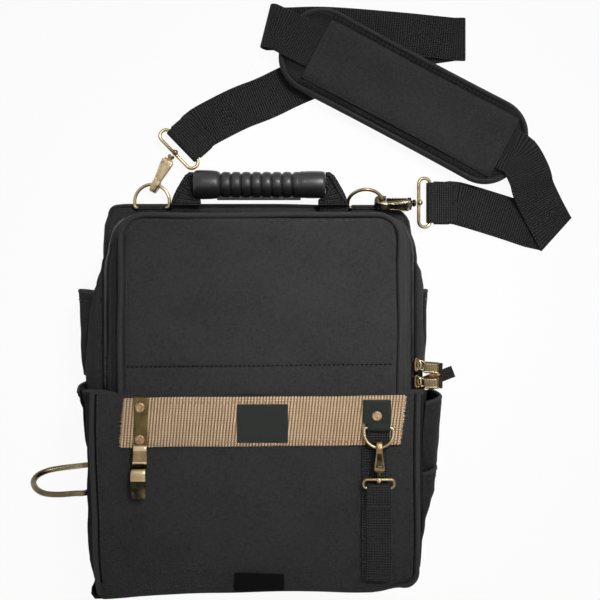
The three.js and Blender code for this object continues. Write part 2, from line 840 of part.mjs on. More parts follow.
// Stations round a fold over a crease through (x, y), reached along heading, from one height to another
function fold(x, y, crease, heading, fromZ, toZ, up, steps) {
  const k = new THREE.Vector3(Math.cos(degrees(crease)), Math.sin(degrees(crease)), 0);
  const d = new THREE.Vector3(Math.cos(degrees(heading)), Math.sin(degrees(heading)), 0);
  const left = upward.clone().multiplyScalar(up).cross(d);
  const w = k.clone().multiplyScalar(strapHalf / k.dot(left));
  const out = d.clone().addScaledVector(k, -d.dot(k)).normalize();
  const rise = (toZ - fromZ) / 2;
  return Array.from({ length: steps + 1 }, (_, i) => {
    const turn = (Math.PI * i) / steps;
    const c = new THREE.Vector3(x, y, fromZ + rise * (1 - Math.cos(turn)));
    c.addScaledVector(out, Math.abs(rise) * Math.sin(turn));
    const n = upward.clone().multiplyScalar(up * Math.cos(turn));
    n.addScaledVector(out, -up * Math.sign(rise) * Math.sin(turn));
    return { c, w, n };
  });
}

function endLoop(bar, heading) {
  const width = 2 * (eyeHalfWidth - eyeCorner) + 2;
  const along = (r, length) => cylinder(r, length).rotateZ(heading).translate(bar.x, bar.y, bar.z);
  return { barrel: along(strapBore + strapThickness, width), bore: along(strapBore, width + 10) };
}

// The first stations of a strap end: from its loop on the bar down to the ground
function fromBar(bar, heading) {
  const at = (distance, z) => [bar.x + Math.cos(heading) * distance, bar.y + Math.sin(heading) * distance, z];
  return [at(strapBore + 0.7, bar.z), at(14, levelOne + 1), at(24, levelOne)];
}

function strapMain(bar, heading) {
  const outward = [...strapOutward, [rightFoldX - foldReach, rightFoldY]];
  const arrival = [leftFoldX + foldReach + 2, leftFoldY];
  const homeward = [[rightFoldX - foldReach, rightFoldY], ...strapReturn, arrival];
  const first = run([...fromBar(bar, heading), ...outward.map((p) => [...p, levelOne])], 1);
  const back = run(homeward.map((p) => [...p, levelTwo]), -1);
  const slots = [-padLength / 2 - 4, padLeftSlot, padRightSlot, strapExit];
  const padRun = run(slots.map(padPoint), 1);
  const stations = [
    ...first,
    ...fold(rightFoldX, rightFoldY, 90, 0, levelOne, levelTwo, 1, 2),
    ...back,
    ...fold(leftFoldX, leftFoldY, leftCrease, 180, levelTwo, insideZ, -1, 4),
    ...padRun,
  ];
  const loop = endLoop(bar, heading);
  return cut(joined(ribbon(stations, strapThickness), loop.barrel), loop.bore);
}

// A point on the straight way from the last bend to the last fold, at a share of it
function lastRun(share) {
  return [lastBendX + share * (lastFoldX - lastBendX), lastBendY + share * (lastFoldY - lastBendY), levelTwo];
}

function strapRightRun() {
  const points = [
    padPoint(strapExit + clearance),
    padPoint(strapExit + 10),
    ...strapDescent.map((p) => [...p, insideZ]),
    [lastBendX, lastBendY, lastBendZ],
    lastRun(0.48),
  ];
  return ribbon(run(points, 1), strapThickness);
}

function strapRightEnd(bar, heading) {
  const lastHeading = THREE.MathUtils.radToDeg(Math.atan2(lastFoldY - lastBendY, lastFoldX - lastBendX));
  const away = fromBar(bar, heading);
  const stations = [
    ...run([lastRun(0.49), lastRun(0.7)], 1),
    ...fold(lastFoldX, lastFoldY, lastCrease, lastHeading, levelTwo, levelOne, 1, 2),
    ...run([...strapHomeward.map((p) => [...p, levelOne]), ...away.reverse()], -1),
  ];
  const loop = endLoop(bar, heading);
  return cut(joined(ribbon(stations, strapThickness), loop.barrel), loop.bore);
}

function cushion(x0, x1, halfWidth, z0, z1, corner) {
  const half = halfWidth - padRound;
  const shape = roundedPlate(x0 + padRound, x1 - padRound, -half, half, corner, corner);
  const options = {
    depth: z1 - z0 - 2 * padRound,
    bevelThickness: padRound,
    bevelSize: padRound,
    bevelSegments: 2,
    curveSegments: 5,
  };
  return new THREE.ExtrudeGeometry(shape, options).translate(0, 0, z0 + padRound);
}

function shoulderPad() {
  const half = padLength / 2;
  const channelZ = padZ + padBase;
  const topZ = channelZ + padChannel + padCover;
  const base = cushion(-half, half, padWidth / 2, padZ, channelZ, padCorner - padRound);
  const cover = cushion(padLeftSlot, padRightSlot, padWidth / 2, padZ, topZ, 4);
  const pathHalf = strapHalf + 0.6;
  const channel = box(-half, half, -pathHalf, pathHalf, channelZ, channelZ + padChannel);
  const pad = cut(joined(base, cover), channel);
  return pad.rotateZ(degrees(padAngle)).translate(padCentre.x, padCentre.y, 0);
}

// Hammer loop

// From a frame whose x points out of the left side and whose y lies along the loop's bar
function besideLeft(geometry) {
  const turn = degrees(hammerTilt);
  const bar = new THREE.Vector3(0, -Math.sin(turn), Math.cos(turn));
  const out = new THREE.Vector3(-1, 0, 0);
  const barX = -shellHalfWidth - clearance - hammerPlateThickness - hammerBarrelRadius + 0.3;
  const frame = new THREE.Matrix4().makeBasis(out, bar, out.clone().cross(bar));
  return geometry.applyMatrix4(frame.setPosition(barX, hammerCentreY, hammerCentreZ));
}

function hammerPlate() {
  const x1 = -shellHalfWidth - clearance;
  const halfY = hammerPlateWidth / 2;
  const halfZ = hammerPlateHeight / 2;
  const [y, z] = [hammerCentreY, hammerCentreZ];
  const flat = box(x1 - hammerPlateThickness, x1, y - halfY, y + halfY, z - halfZ, z + halfZ);
  const barrel = besideLeft(cylinder(hammerBarrelRadius, hammerBarrelLength));
  const halfLength = hammerBarrelLength / 2;
  const neck = besideLeft(box(0.5 - hammerBarrelRadius - 1, -2, -halfLength, halfLength, -3.4, 3.4));
  const bore = besideLeft(cylinder(hammerWire + ringRun, hammerBarrelLength + 4));
  return cut(joined(flat, barrel, neck), bore);
}

function hammerLoop() {
  const outline = loopOutline(0, hammerReach, hammerHalfWidth, hammerCorner, hammerEndCorner, 6);
  return besideLeft(wire(outline, 0, hammerWire, 10, true));
}

function shellNodes() {
  return [
    node("back_panel", backPanel(), materials.fabric),
    node("upper_gusset", gusset(upperStartY, shellTopY, shellCorner, flapGussetZ - 0.6), materials.fabric),
    node("lower_gusset", gusset(lowerStartY, shellBaseY, baseCorner, gussetFrontZ), materials.fabric),
    node("lower_front_panel", lowerFrontPanel(), materials.fabric),
    node("lower_front_piping", lowerPiping(), materials.binding),
    node("inner_pocket", innerPocket(), materials.fabric),
    node("zip_end_tab", endTab(), materials.webbing),
    node("hammer_plate", hammerPlate(), materials.webbing),
    node("hammer_loop", hammerLoop(), materials.darkBrass),
    ...Object.entries(pocketSizes).map(([name, size]) => node(name, pocket(size), materials.fabric)),
  ];
}

function flapNodes() {
  return [
    node("rear_zip_tape", onSlope(zipRear.from, zipRear.to, -tapeThickness, 0), materials.zip),
    node("rear_zip_coil", coil(zipMiddle - 0.3 - coilWidth, upperStartY), materials.zip),
    node("flap_panel", flapPanel(), materials.fabric),
    node("flap_gusset", onSlope(zipFlap.to + clearance, -clearance, -flapWall, 0), materials.fabric),
    node("flap_piping", wire(flapArch(upperStartY), pipingZ, pipingRadius, 8, false), materials.binding),
    node("flap_zip_tape", onSlope(zipFlap.from, zipFlap.to, -tapeThickness, 0), materials.zip),
    node("flap_zip_coil", coil(zipMiddle + 0.3, flapCoilY), materials.zip),
    sliderGroup("slider_lower", lowerSliderY),
    sliderGroup("slider_upper", lowerSliderY + sliderPitch),
    pull("pull_lower", lowerSliderY),
    pull("pull_upper", lowerSliderY + sliderPitch),
  ];
}

function frontNodes() {
  const onPiping = pipingZ + pipingRadius + clearance;
  const baseHalf = baseTabWidth / 2;
  const patchHalf = labelWidth / 2;
  const labelY = (bandTopY + bandBaseY) / 2 - labelDrop;
  const rivetZ = onBandZ + clipThickness + clearance;
  const ringRivetZ = onBandZ + tabThickness + clearance;
  const ringRivetY = bandTopY - ringTabRivetDrop;
  const contact = new THREE.Vector3(0, -frontApex, 0);
  contact.applyAxisAngle(new THREE.Vector3(1, 0, 0), -degrees(frontRingTilt));
  contact.add(new THREE.Vector3(tapeStrapX, frontRingY, frontRingZ));
  const along = new THREE.Vector3(0, 1, 0);
  const swivel = swivelPoint(contact, along, smallHookScale);
  const eye = eyeFrame(swivel, -Math.PI / 2, smallEyeZ, smallEyeDepth);
  const names = { hook: "small_hook", gate: "small_gate" };
  return [
    node(
      "webbing_band",
      box(bandCentreX - bandHalfWidth, bandCentreX + bandHalfWidth, bandBaseY, bandTopY, bandZ, bandFaceZ),
      materials.tan,
    ),
    node(
      "label_patch",
      box(
        labelCentreX - patchHalf, labelCentreX + patchHalf, labelY - labelHeight / 2, labelY + labelHeight / 2,
        onBandZ, onBandZ + labelThickness,
      ),
      materials.patch,
    ),
    node("tape_clip", tapeClip(), materials.darkBrass),
    node("clip_rivet_upper", disc(clipRivetRadius, clipX, bandTopY - clipRivetTop, rivetZ), materials.darkBrass),
    node("clip_rivet_lower", disc(clipRivetRadius, clipX, bandBaseY + clipRivetBase, rivetZ), materials.darkBrass),
    node(
      "base_tab",
      box(baseTabCentreX - baseHalf, baseTabCentreX + baseHalf, shellBaseY, shellBaseY + baseTabHeight,
        onPiping, onPiping + tabThickness),
      materials.webbing,
    ),
    node("ring_tab", ringTab(), materials.webbing),
    node("ring_tab_rivet", disc(ringTabRivetRadius, tapeStrapX, ringRivetY, ringRivetZ), materials.darkBrass),
    node("front_ring", frontRing(), materials.brass),
    hookGroup(names, contact, along, upward, smallHookScale),
    node(
      "small_eye",
      eyeLoop(eye, smallEyeDepth, smallEyeHalfWidth, smallEyeCorner, frontRingWire, smallStemRadius),
      materials.brass,
    ),
    node("tape_strap_rear", rearStrand(), materials.webbing),
    node("tape_strap_front", frontStrand(barOf(eye, smallEyeDepth)), materials.webbing),
  ];
}

function carryingNodes() {
  return [
    node("handle_grip", handleGrip(), materials.rubber),
    node("handle_webbing", handleStrap(), materials.webbing),
    node("handle_anchor_left", handleAnchor(-1), materials.webbing),
    node("handle_anchor_right", handleAnchor(1), materials.webbing),
    node("top_ring_tab_left", topRingTab(topRingLeftX), materials.webbing),
    node("top_ring_tab_right", topRingTab(topRingRightX), materials.webbing),
    node("top_ring_left", topRing(topRingLeftX, 0), materials.brass),
    node("top_ring_right", topRing(topRingRightX, rightRingTilt), materials.brass),
    ...leftEndNodes(),
    ...rightEndNodes(),
    node("shoulder_pad", shoulderPad(), materials.fabric),
    node("strap_right_run", strapRightRun(), materials.webbing),
  ];
}

function leftEndNodes() {
  const angle = degrees(leftContactAngle);
  const contact = new THREE.Vector3(
    topRingLeftX + topRingHalfWidth * Math.cos(angle),
    topRingY + topRingLeg + topRingHalfWidth * Math.sin(angle),
    topRingZ,
  );
  const axis = degrees(leftHookAngle);
  const along = new THREE.Vector3(-Math.cos(axis), -Math.sin(axis), 0);
  const heading = degrees(leftEyeAngle);
  const eye = eyeFrame(swivelPoint(contact, along, 1), heading, eyeBarZ, eyeDepth);
  return [
    hookGroup({ hook: "hook_left", gate: "gate_left" }, contact, along, upward, 1),
    node("eye_left", eyeLoop(eye, eyeDepth, eyeHalfWidth, eyeCorner, topRingWire, stemRadius), materials.brass),
    node("strap_webbing", strapMain(barOf(eye, eyeDepth), heading), materials.webbing),
  ];
}

function rightEndNodes() {
  const tilt = degrees(rightRingTilt);
  const wireWay = new THREE.Vector3(0, Math.cos(tilt), Math.sin(tilt));
  const legX = Math.sqrt(topRingHalfWidth ** 2 - (rightContactReach - topRingLeg) ** 2);
  const contact = new THREE.Vector3(topRingRightX + legX, topRingY, topRingZ);
  contact.addScaledVector(wireWay, rightContactReach);
  const drop = degrees(rightHookDrop);
  const along = new THREE.Vector3(-Math.cos(drop), 0, Math.sin(drop));
  const across = wireWay.clone().cross(along).normalize();
  const eye = eyeFrame(swivelPoint(contact, along, 1), 0, eyeBarZ, eyeDepth);
  return [
    hookGroup({ hook: "hook_right", gate: "gate_right" }, contact, along, across, 1),
    node("eye_right", eyeLoop(eye, eyeDepth, eyeHalfWidth, eyeCorner, topRingWire, stemRadius), materials.brass),
    node("strap_right_end", strapRightEnd(barOf(eye, eyeDepth), 0), materials.webbing),
  ];
}

function buildBag() {
  const bag = new THREE.Group();
  bag.name = "zippered_tool_bag";
  bag.add(...shellNodes(), ...flapNodes(), ...frontNodes(), ...carryingNodes());
  return bag;
}

export default buildBag();
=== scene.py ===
import math

import bmesh
import bpy
import numpy as np
from mathutils import Matrix, Vector, noise


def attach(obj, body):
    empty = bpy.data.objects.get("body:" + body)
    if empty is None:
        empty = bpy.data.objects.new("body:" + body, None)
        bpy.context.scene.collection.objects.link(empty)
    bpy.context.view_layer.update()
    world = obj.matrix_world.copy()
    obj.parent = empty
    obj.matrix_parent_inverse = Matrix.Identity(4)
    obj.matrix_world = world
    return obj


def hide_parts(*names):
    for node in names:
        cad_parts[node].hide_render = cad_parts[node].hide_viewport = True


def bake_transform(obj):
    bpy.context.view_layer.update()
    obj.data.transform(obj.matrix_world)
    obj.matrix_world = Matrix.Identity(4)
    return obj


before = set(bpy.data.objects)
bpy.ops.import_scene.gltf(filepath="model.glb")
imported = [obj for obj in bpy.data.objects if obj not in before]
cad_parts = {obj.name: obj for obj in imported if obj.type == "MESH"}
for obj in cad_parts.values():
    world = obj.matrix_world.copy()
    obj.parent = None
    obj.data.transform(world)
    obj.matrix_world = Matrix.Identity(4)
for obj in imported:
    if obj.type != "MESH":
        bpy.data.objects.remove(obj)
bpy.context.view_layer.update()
MM = 0.001
UP = Vector((0, 0, 1))
# The columns of the tan webbing, from one to the next
BAND_PITCH = 2.45


# Materials

class Net:
    """The emptied nodes of a material or a world."""

    def __init__(self, owner):
        owner.use_nodes = True
        self.tree = owner.node_tree
        self.tree.nodes.clear()

    def add(self, kind, *values):
        node = self.tree.nodes.new(kind)
        for value, target in zip(values, node.inputs):
            self.put(value, target)
        return node

    def link(self, source, target):
        self.tree.links.new(source, target)

    def put(self, value, target):
        if isinstance(value, bpy.types.NodeSocket):
            self.link(value, target)
        else:
            target.default_value = value

    def sum(self, operation, *values):
        node = self.add("ShaderNodeMath", *values)
        node.operation = operation
        return node.outputs[0]

    def rays(self, *names):
        """1 for the named kinds of ray and 0 for the others."""
        path = self.add("ShaderNodeLightPath")
        seen = path.outputs[names[0]]
        for name in names[1:]:
            seen = self.sum("MAXIMUM", seen, path.outputs[name])
        return seen

    def mixed(self, share, first, second):
        return self.add("ShaderNodeMixShader", share, first.outputs[0], second.outputs[0]).outputs[0]


class Look(Net):
    """A procedural material. Texture coordinates are millimetres, u across a piece and v along it."""

    def __init__(self, name, roughness=0.8, metallic=0.0, sheen=0.0, specular=0.5):
        self.material = bpy.data.materials.new(name)
        super().__init__(self.material)
        self.output = self.add("ShaderNodeOutputMaterial")
        self.shader = self.add("ShaderNodeBsdfPrincipled")
        self.shader.inputs["Roughness"].default_value = roughness
        self.shader.inputs["Metallic"].default_value = metallic
        self.shader.inputs["Sheen Weight"].default_value = sheen
        self.shader.inputs["Sheen Roughness"].default_value = 0.5
        self.shader.inputs["Specular IOR Level"].default_value = specular
        self.link(self.shader.outputs[0], self.output.inputs[0])
        texture = self.add("ShaderNodeTexCoord")
        self.place = self.scaled(texture.outputs["Object"], 1000)
        flat = self.add("ShaderNodeUVMap")
        flat.uv_map = "flat"
        split = self.add("ShaderNodeSeparateXYZ")
        self.link(flat.outputs[0], split.inputs[0])
        self.u = split.outputs[0]
        self.v = split.outputs[1]

    def scaled(self, vector, amount):
        node = self.add("ShaderNodeVectorMath")
        node.operation = "SCALE"
        self.link(vector, node.inputs[0])
        node.inputs[3].default_value = amount
        return node.outputs[0]

    def wave(self, value, pitch, shift=0.0):
        turned = self.sum("MULTIPLY_ADD", value, 2 * math.pi / pitch, shift)
        return self.sum("SINE", turned)

    def ribs(self, value, pitch):
        """0 in the grooves and 1 on the ridges, one ridge for each pitch."""
        return self.sum("ABSOLUTE", self.wave(value, 2 * pitch))

    def noise(self, size, detail=3.0, vector=None):
        node = self.add("ShaderNodeTexNoise")
        node.inputs["Scale"].default_value = 1 / size
        node.inputs["Detail"].default_value = detail
        self.link(vector or self.place, node.inputs["Vector"])
        return node.outputs["Fac"]

    def grain(self, across, along, detail=2.0):
        """Noise on the flat coordinates, drawn out to so many millimetres across and along."""
        node = self.add("ShaderNodeCombineXYZ")
        self.link(self.sum("MULTIPLY", self.u, 1 / across), node.inputs[0])
        self.link(self.sum("MULTIPLY", self.v, 1 / along), node.inputs[1])
        return self.noise(1.0, detail, node.outputs[0])

    def ramp(self, fac, *stops):
        node = self.add("ShaderNodeValToRGB")
        self.put(fac, node.inputs[0])
        while len(node.color_ramp.elements) < len(stops):
            node.color_ramp.elements.new(0.5)
        for element, (where, colour) in zip(node.color_ramp.elements, stops):
            element.position = where
            element.color = (*colour, 1)
        return node.outputs[0]

    def colour(self, value, *stops):
        """The colour read from (place, colour) stops, the colours as whole numbers from 0 to 255."""
        self.link(self.ramp(value, *[(where, srgb(shade)) for where, shade in stops]), self.shader.inputs["Base Color"])

    def rough(self, value):
        self.put(value, self.shader.inputs["Roughness"])

    def bump(self, height, depth, strength=1.0):
        node = self.add("ShaderNodeBump")
        node.inputs["Distance"].default_value = depth * MM
        node.inputs["Strength"].default_value = strength
        self.link(height, node.inputs["Height"])
        self.link(node.outputs[0], self.shader.inputs["Normal"])


def srgb(shade):
    values = (shade,) * 3 if isinstance(shade, int) else shade
    return tuple(((v / 255 + 0.055) / 1.055) ** 2.4 if v > 10 else v / 255 / 12.92 for v in values)


def woven(name, dark, light, pitch, depth, roughness=0.86, sheen=0.03):
    """A plain weave of uneven threads, some lighter than others, with a faint unevenness of dye."""
    look = Look(name, roughness, 0, sheen, 0.12)
    crossing = look.sum("MULTIPLY", look.wave(look.u, 2 * pitch), look.wave(look.v, 2 * pitch))
    height = look.sum("MULTIPLY_ADD", crossing, 0.5, 0.5)
    warp = look.grain(pitch * 1.3, pitch * 7)
    weft = look.grain(pitch * 7, pitch * 1.3)
    threads = look.sum("MULTIPLY", look.sum("ADD", warp, weft), 0.5)
    speck = look.noise(pitch * 1.5, 2)
    patches = look.noise(30, 3)
    mixed = look.sum("MULTIPLY_ADD", height, 0.22, look.sum("MULTIPLY", threads, 0.75))
    mixed = look.sum("MULTIPLY_ADD", speck, 0.62, mixed)
    mixed = look.sum("MULTIPLY_ADD", patches, 0.22, mixed)
    look.colour(mixed, (0.55, dark), (1.08, light))
    look.bump(look.sum("ADD", height, threads), depth)
    return look.material


def ribbed(name, dark, light, pitch, columns, depth, roughness):
    """Webbing: ribs across the strap, crossed by columns along it."""
    look = Look(name, roughness, 0, 0.02, 0.2)
    rib = look.ribs(look.v, pitch)
    column = look.ribs(look.u, columns)
    height = look.sum("MULTIPLY", rib, look.sum("MULTIPLY_ADD", column, 0.5, 0.5))
    threads = look.grain(columns * 0.8, pitch * 2.6)
    mixed = look.sum("MULTIPLY_ADD", threads, 0.35, look.sum("MULTIPLY", height, 0.85))
    mixed = look.sum("MULTIPLY_ADD", look.noise(18, 2), 0.2, mixed)
    look.colour(mixed, (0.32, dark), (1.0, light))
    look.bump(height, depth)
    return look.material


def tan_webbing():
    """Coarse columns across the band, each a chain of slanting stitches with dark gaps between."""
    look = Look("tan_webbing", 0.88, 0, 0.04, 0.15)
    column = look.ribs(look.v, BAND_PITCH)
    side = look.sum("ABSOLUTE", look.wave(look.v, 2 * BAND_PITCH, math.pi / 2))
    chain = look.sum("MULTIPLY_ADD", side, 2.6, look.sum("MULTIPLY", look.u, 2 * math.pi / 1.9))
    chain = look.sum("MULTIPLY_ADD", look.sum("SINE", chain), 0.5, 0.5)
    height = look.sum("MULTIPLY", column, look.sum("MULTIPLY_ADD", chain, 0.6, 0.4))
    fibre = look.noise(0.9, 3)
    mixed = look.sum("MULTIPLY_ADD", fibre, 0.35, look.sum("MULTIPLY_ADD", height, 0.8, -0.08))
    mixed = look.sum("MULTIPLY_ADD", look.noise(16, 2), 0.12, mixed)
    look.colour(mixed, (0.14, (66, 48, 34)), (0.4, (162, 132, 102)), (0.9, (236, 210, 176)))
    look.bump(height, 0.45)
    return look.material


def antique(name, bright, dark, worn, roughness, patina):
    """Plated metal, darker in broad patches, with faint brushing."""
    look = Look(name, roughness, 1.0)
    cloud = look.noise(patina, 3)
    fine = look.noise(1.6, 2)
    mixed = look.sum("MULTIPLY_ADD", fine, 0.12, look.sum("MULTIPLY", cloud, 0.9))
    look.colour(mixed, (0.34, dark), (0.52, bright), (0.74, worn))
    look.rough(look.ramp(mixed, (0.3, (roughness + 0.1,) * 3), (0.7, (roughness - 0.05,) * 3)))
    look.bump(fine, 0.02, 0.4)
    return look.material


def moulded(name, dark, light, roughness, grain, depth):
    """Moulded rubber with a fine grain and faint rub marks."""
    look = Look(name, roughness, 0, 0, 0.5)
    fine = look.noise(grain, 3)
    cloud = look.noise(14, 3)
    look.colour(cloud, (0.35, dark), (0.7, light))
    look.rough(look.ramp(cloud, (0.3, (roughness + 0.08,) * 3), (0.7, (roughness - 0.06,) * 3)))
    look.bump(fine, depth, 0.6)
    return look.material


def satin(name, dark, light, pitch):
    """A woven patch: shiny floats in short diagonal steps."""
    look = Look(name, 0.62, 0, 0.02, 0.2)
    twill = look.wave(look.sum("ADD", look.u, look.v), pitch)
    across = look.wave(look.sum("SUBTRACT", look.u, look.v), pitch * 2.2)
    height = look.sum("MULTIPLY_ADD", across, 0.3, twill)
    look.colour(look.sum("MULTIPLY_ADD", height, 0.35, 0.5), (0.2, dark), (0.9, light))
    look.bump(height, 0.12)
    return look.material


BLACK = {
    "fabric": woven("nylon_fabric", 15, 58, 0.72, 0.35),
    "lining": woven("nylon_lining", (22, 22, 23), (44, 44, 45), 0.5, 0.1),
    "shade": woven("pocket_fabric", 13, 48, 0.72, 0.35),
    "binding": ribbed("edge_binding", (22, 22, 23), (54, 54, 55), 0.9, 1.6, 0.16, 0.7),
    "webbing": ribbed("black_webbing", 1, 51, 2.0, 2.1, 0.7, 0.85),
    "zip": ribbed("zip_tape", (18, 18, 19), (46, 46, 47), 3.2, 0.8, 0.12, 0.64),
    "coil": moulded("zip_coil", (24, 24, 25), (62, 62, 63), 0.42, 1.2, 0.05),
    "thread": moulded("black_thread", (18, 18, 19), (52, 52, 54), 0.66, 0.5, 0.05),
    # The same nylon made darker: painted shade for the lower side wall
    "dim": woven("side_cloth", 4, 36, 0.6, 0.25, 1.0, 0.0),
    # Near-black: black thread made darker for painted shade in stitch holes, and painted shade in the grooves by the
    # lower piping
    "sunk": woven("thread_and_painted_shade", 2, 16, 0.4, 0.1, 1.0, 0.0),
    "pale": moulded("grey_thread", 60, (150, 150, 148), 0.7, 2.5, 0.05),
    "grip": moulded("grip_rubber", (24, 24, 25), (38, 38, 39), 0.36, 0.45, 0.04),
    "patch": satin("patch_satin", (18, 21, 19), (46, 50, 47), 1.1),
    "tab": ribbed("tab_webbing", (10, 14, 12), (46, 52, 49), 0.9, 0.9, 0.2, 0.8),
    "velvet": woven("hook_tape", 2, 12, 0.6, 0.3, 1.0, 0.0),
}
TAN = tan_webbing()
TAN_THREAD = moulded("tan_thread", (104, 84, 66), (168, 140, 112), 0.8, 0.5, 0.05)
COPPER = antique("copper_bit", (186, 130, 96), (120, 78, 52), (224, 178, 142), 0.36, 4)
BRASS = antique("antique_brass", (158, 140, 106), (108, 90, 62), (206, 190, 158), 0.26, 16)
OLD_BRASS = antique("dark_brass", (104, 94, 70), (72, 64, 46), (144, 132, 102), 0.3, 22)
# Dark olive brass: painted dark reflection on the clip's flat strip
DARK_REFLECTION_BRASS = antique("brass_painted_dark_reflection", (86, 74, 46), (62, 54, 32), (112, 98, 64), 0.4, 14)
BROWN_BRASS = antique("brown_brass", (126, 104, 74), (94, 76, 50), (164, 142, 106), 0.34, 16)
# Pale brass, which also serves as the painted highlight on the clip's bends and ridge
PALE_BRASS_AND_HIGHLIGHT = antique("pale_brass_and_painted_highlight", (184, 166, 132), (146, 126, 94), (212, 196, 164), 0.32, 30)
SHADOW_BRASS = antique("shadow_brass", (50, 46, 34), (24, 22, 16), (92, 84, 60), 0.24, 6)
RIVET_BRASS = antique("rivet_brass", (150, 124, 94), (104, 82, 58), (184, 160, 126), 0.38, 3)
STEEL_BRASS = antique("grey_brass", (112, 104, 90), (56, 50, 42), (190, 182, 164), 0.26, 5)


# Forms

def squared(angle, power, second=None):
    """Cosine and sine bent towards the corners of a square."""
    a, b = math.cos(angle), math.sin(angle)
    return math.copysign(abs(a) ** power, a), math.copysign(abs(b) ** (second or power), b)


def arc(start, sweep, count):
    """Angles in radians over a sweep; start and sweep are degrees."""
    return [math.radians(start + sweep * k / count) for k in range(count + 1)]


def way_at(path, i):
    """The way a path runs at one of its points."""
    return (path[min(i + 1, len(path) - 1)] - path[max(i - 1, 0)]).normalized()


class Form:
    """Corners in millimetres, faces with texture coordinates, and the number of each face's material."""

    def __init__(self):
        self.points = []
        self.faces = []
        self.coords = []
        self.looks = []

    def grid(self, rows, us, vs, look=0, close_u=False, close_v=False, flip=False):
        """Four-sided faces between rows of points; a list of looks gives one for each row."""
        start = len(self.points)
        height = len(rows)
        width = len(rows[0])
        for row in rows:
            self.points.extend(tuple(p) for p in row)
        for i in range(height - (0 if close_v else 1)):
            for j in range(width - (0 if close_u else 1)):
                corners = [
                    (i * width + j, us[j], vs[i]),
                    (i * width + (j + 1) % width, us[j + 1], vs[i]),
                    ((i + 1) % height * width + (j + 1) % width, us[j + 1], vs[i + 1]),
                    ((i + 1) % height * width + j, us[j], vs[i + 1]),
                ]
                if flip:
                    corners.reverse()
                self.faces.append([start + c[0] for c in corners])
                self.coords.extend((c[1], c[2]) for c in corners)
                self.looks.append(look[i] if isinstance(look, list) else look)
        return start

    def face(self, indices, coords, look=0):
        self.faces.append(list(indices))
        self.coords.extend(coords)
        self.looks.append(look)

    def skin(self, rows, us, vs, look=0):
        """A grid closed round each row, with a face across its first and its last row."""
        size = len(rows[0])
        start = self.grid(rows, us, vs, look, close_u=True)
        for row, turn in ((0, -1), (len(rows) - 1, 1)):
            order = range(size)[::turn]
            self.face([start + row * size + k for k in order], [(us[k], vs[row]) for k in order],
                      look[row] if isinstance(look, list) else look)

    def moved(self, matrix, start=0):
        for i in range(start, len(self.points)):
            self.points[i] = tuple(matrix @ Vector(self.points[i]))


def made(name, form, looks, sharp=38):
    """A mesh object in metres; looks are materials or keys of BLACK, edges over the sharp angle stay sharp."""
    if not isinstance(looks, list):
        looks = [looks]
    mesh = bpy.data.meshes.new(name)
    mesh.from_pydata([(x * MM, y * MM, z * MM) for x, y, z in form.points], [], form.faces)
    layer = mesh.uv_layers.new(name="flat")
    layer.data.foreach_set("uv", np.array(form.coords, dtype=np.float32).ravel())
    for look in looks:
        mesh.materials.append(BLACK[look] if isinstance(look, str) else look)
    mesh.polygons.foreach_set("material_index", form.looks)
    soft = bmesh.new()
    soft.from_mesh(mesh)
    bmesh.ops.remove_doubles(soft, verts=soft.verts, dist=0.004 * MM)
    bmesh.ops.recalc_face_normals(soft, faces=soft.faces)
    soft.to_mesh(mesh)
    soft.free()
    mesh.polygons.foreach_set("use_smooth", [True] * len(mesh.polygons))
    mesh.set_sharp_from_angle(angle=math.radians(sharp))
    piece = bpy.data.objects.new(name, mesh)
    bpy.context.scene.collection.objects.link(piece)
    return piece


def settle(piece, body, slot, *nodes):
    """Sets a piece on its body and hides the solids that it stands for."""
    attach(piece, body)
    if nodes:
        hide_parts(*nodes)
    return piece


def put(name, form, looks, body, slot, *nodes, sharp=38):
    """A piece made from a form and set on its body."""
    return settle(made(name, form, looks, sharp), body, slot, *nodes)


def lengths(points):
    """How far along a path each of its points lies."""
    total = [0.0]
    for a, b in zip(points, points[1:]):
        total.append(total[-1] + (Vector(b) - Vector(a)).length)
    return total


def smooth(points, gap, closed=False):
    """Points about a gap apart on a curve through the given ones."""
    points = [Vector(p) for p in points]
    count = len(points)
    spans = count if closed else count - 1
    result = []
    for i in range(spans):
        p1, p2 = points[i], points[(i + 1) % count]
        p0 = points[i - 1] if closed or i > 0 else p1 * 2 - p2
        p3 = points[(i + 2) % count] if closed or i + 2 < count else p2 * 2 - p1
        pieces = max(1, round((p2 - p1).length / gap))
        for k in range(pieces):
            t = k / pieces
            result.append(
                0.5 * (2 * p1 + (p2 - p0) * t + (2 * p0 - 5 * p1 + 4 * p2 - p3) * t * t
                       + (3 * p1 - p0 - 3 * p2 + p3) * t ** 3)
            )
    if not closed:
        result.append(points[-1])
    return result


def tube(form, path, radius, sides=10, closed=False, look=0, start_normal=None, flat=1.0):
    """A round cord along a path, flattened where flat is not 1."""
    path = [Vector(p) for p in path]
    count = len(path)
    ways = []
    for i in range(count):
        a = path[i - 1] if closed or i > 0 else path[i]
        b = path[(i + 1) % count] if closed or i + 1 < count else path[i]
        ways.append((b - a).normalized())
    normal = Vector(start_normal) if start_normal else ways[0].orthogonal().normalized()
    radii = radius if isinstance(radius, list) else [radius] * count
    turns = [2 * math.pi * k / sides for k in range(sides + 1)]
    rows = []
    for c, way, r in zip(path, ways, radii):
        normal = (normal - way * normal.dot(way)).normalized()
        side = way.cross(normal)
        rows.append([c + normal * (r * flat * math.cos(a)) + side * (r * math.sin(a)) for a in turns[:-1]])
    along = lengths(path + ([path[0]] if closed else []))
    us = [max(radii) * a for a in turns]
    if closed:
        form.grid(rows, us, along, look, close_u=True, close_v=True)
    else:
        form.skin(rows, us, along, look)


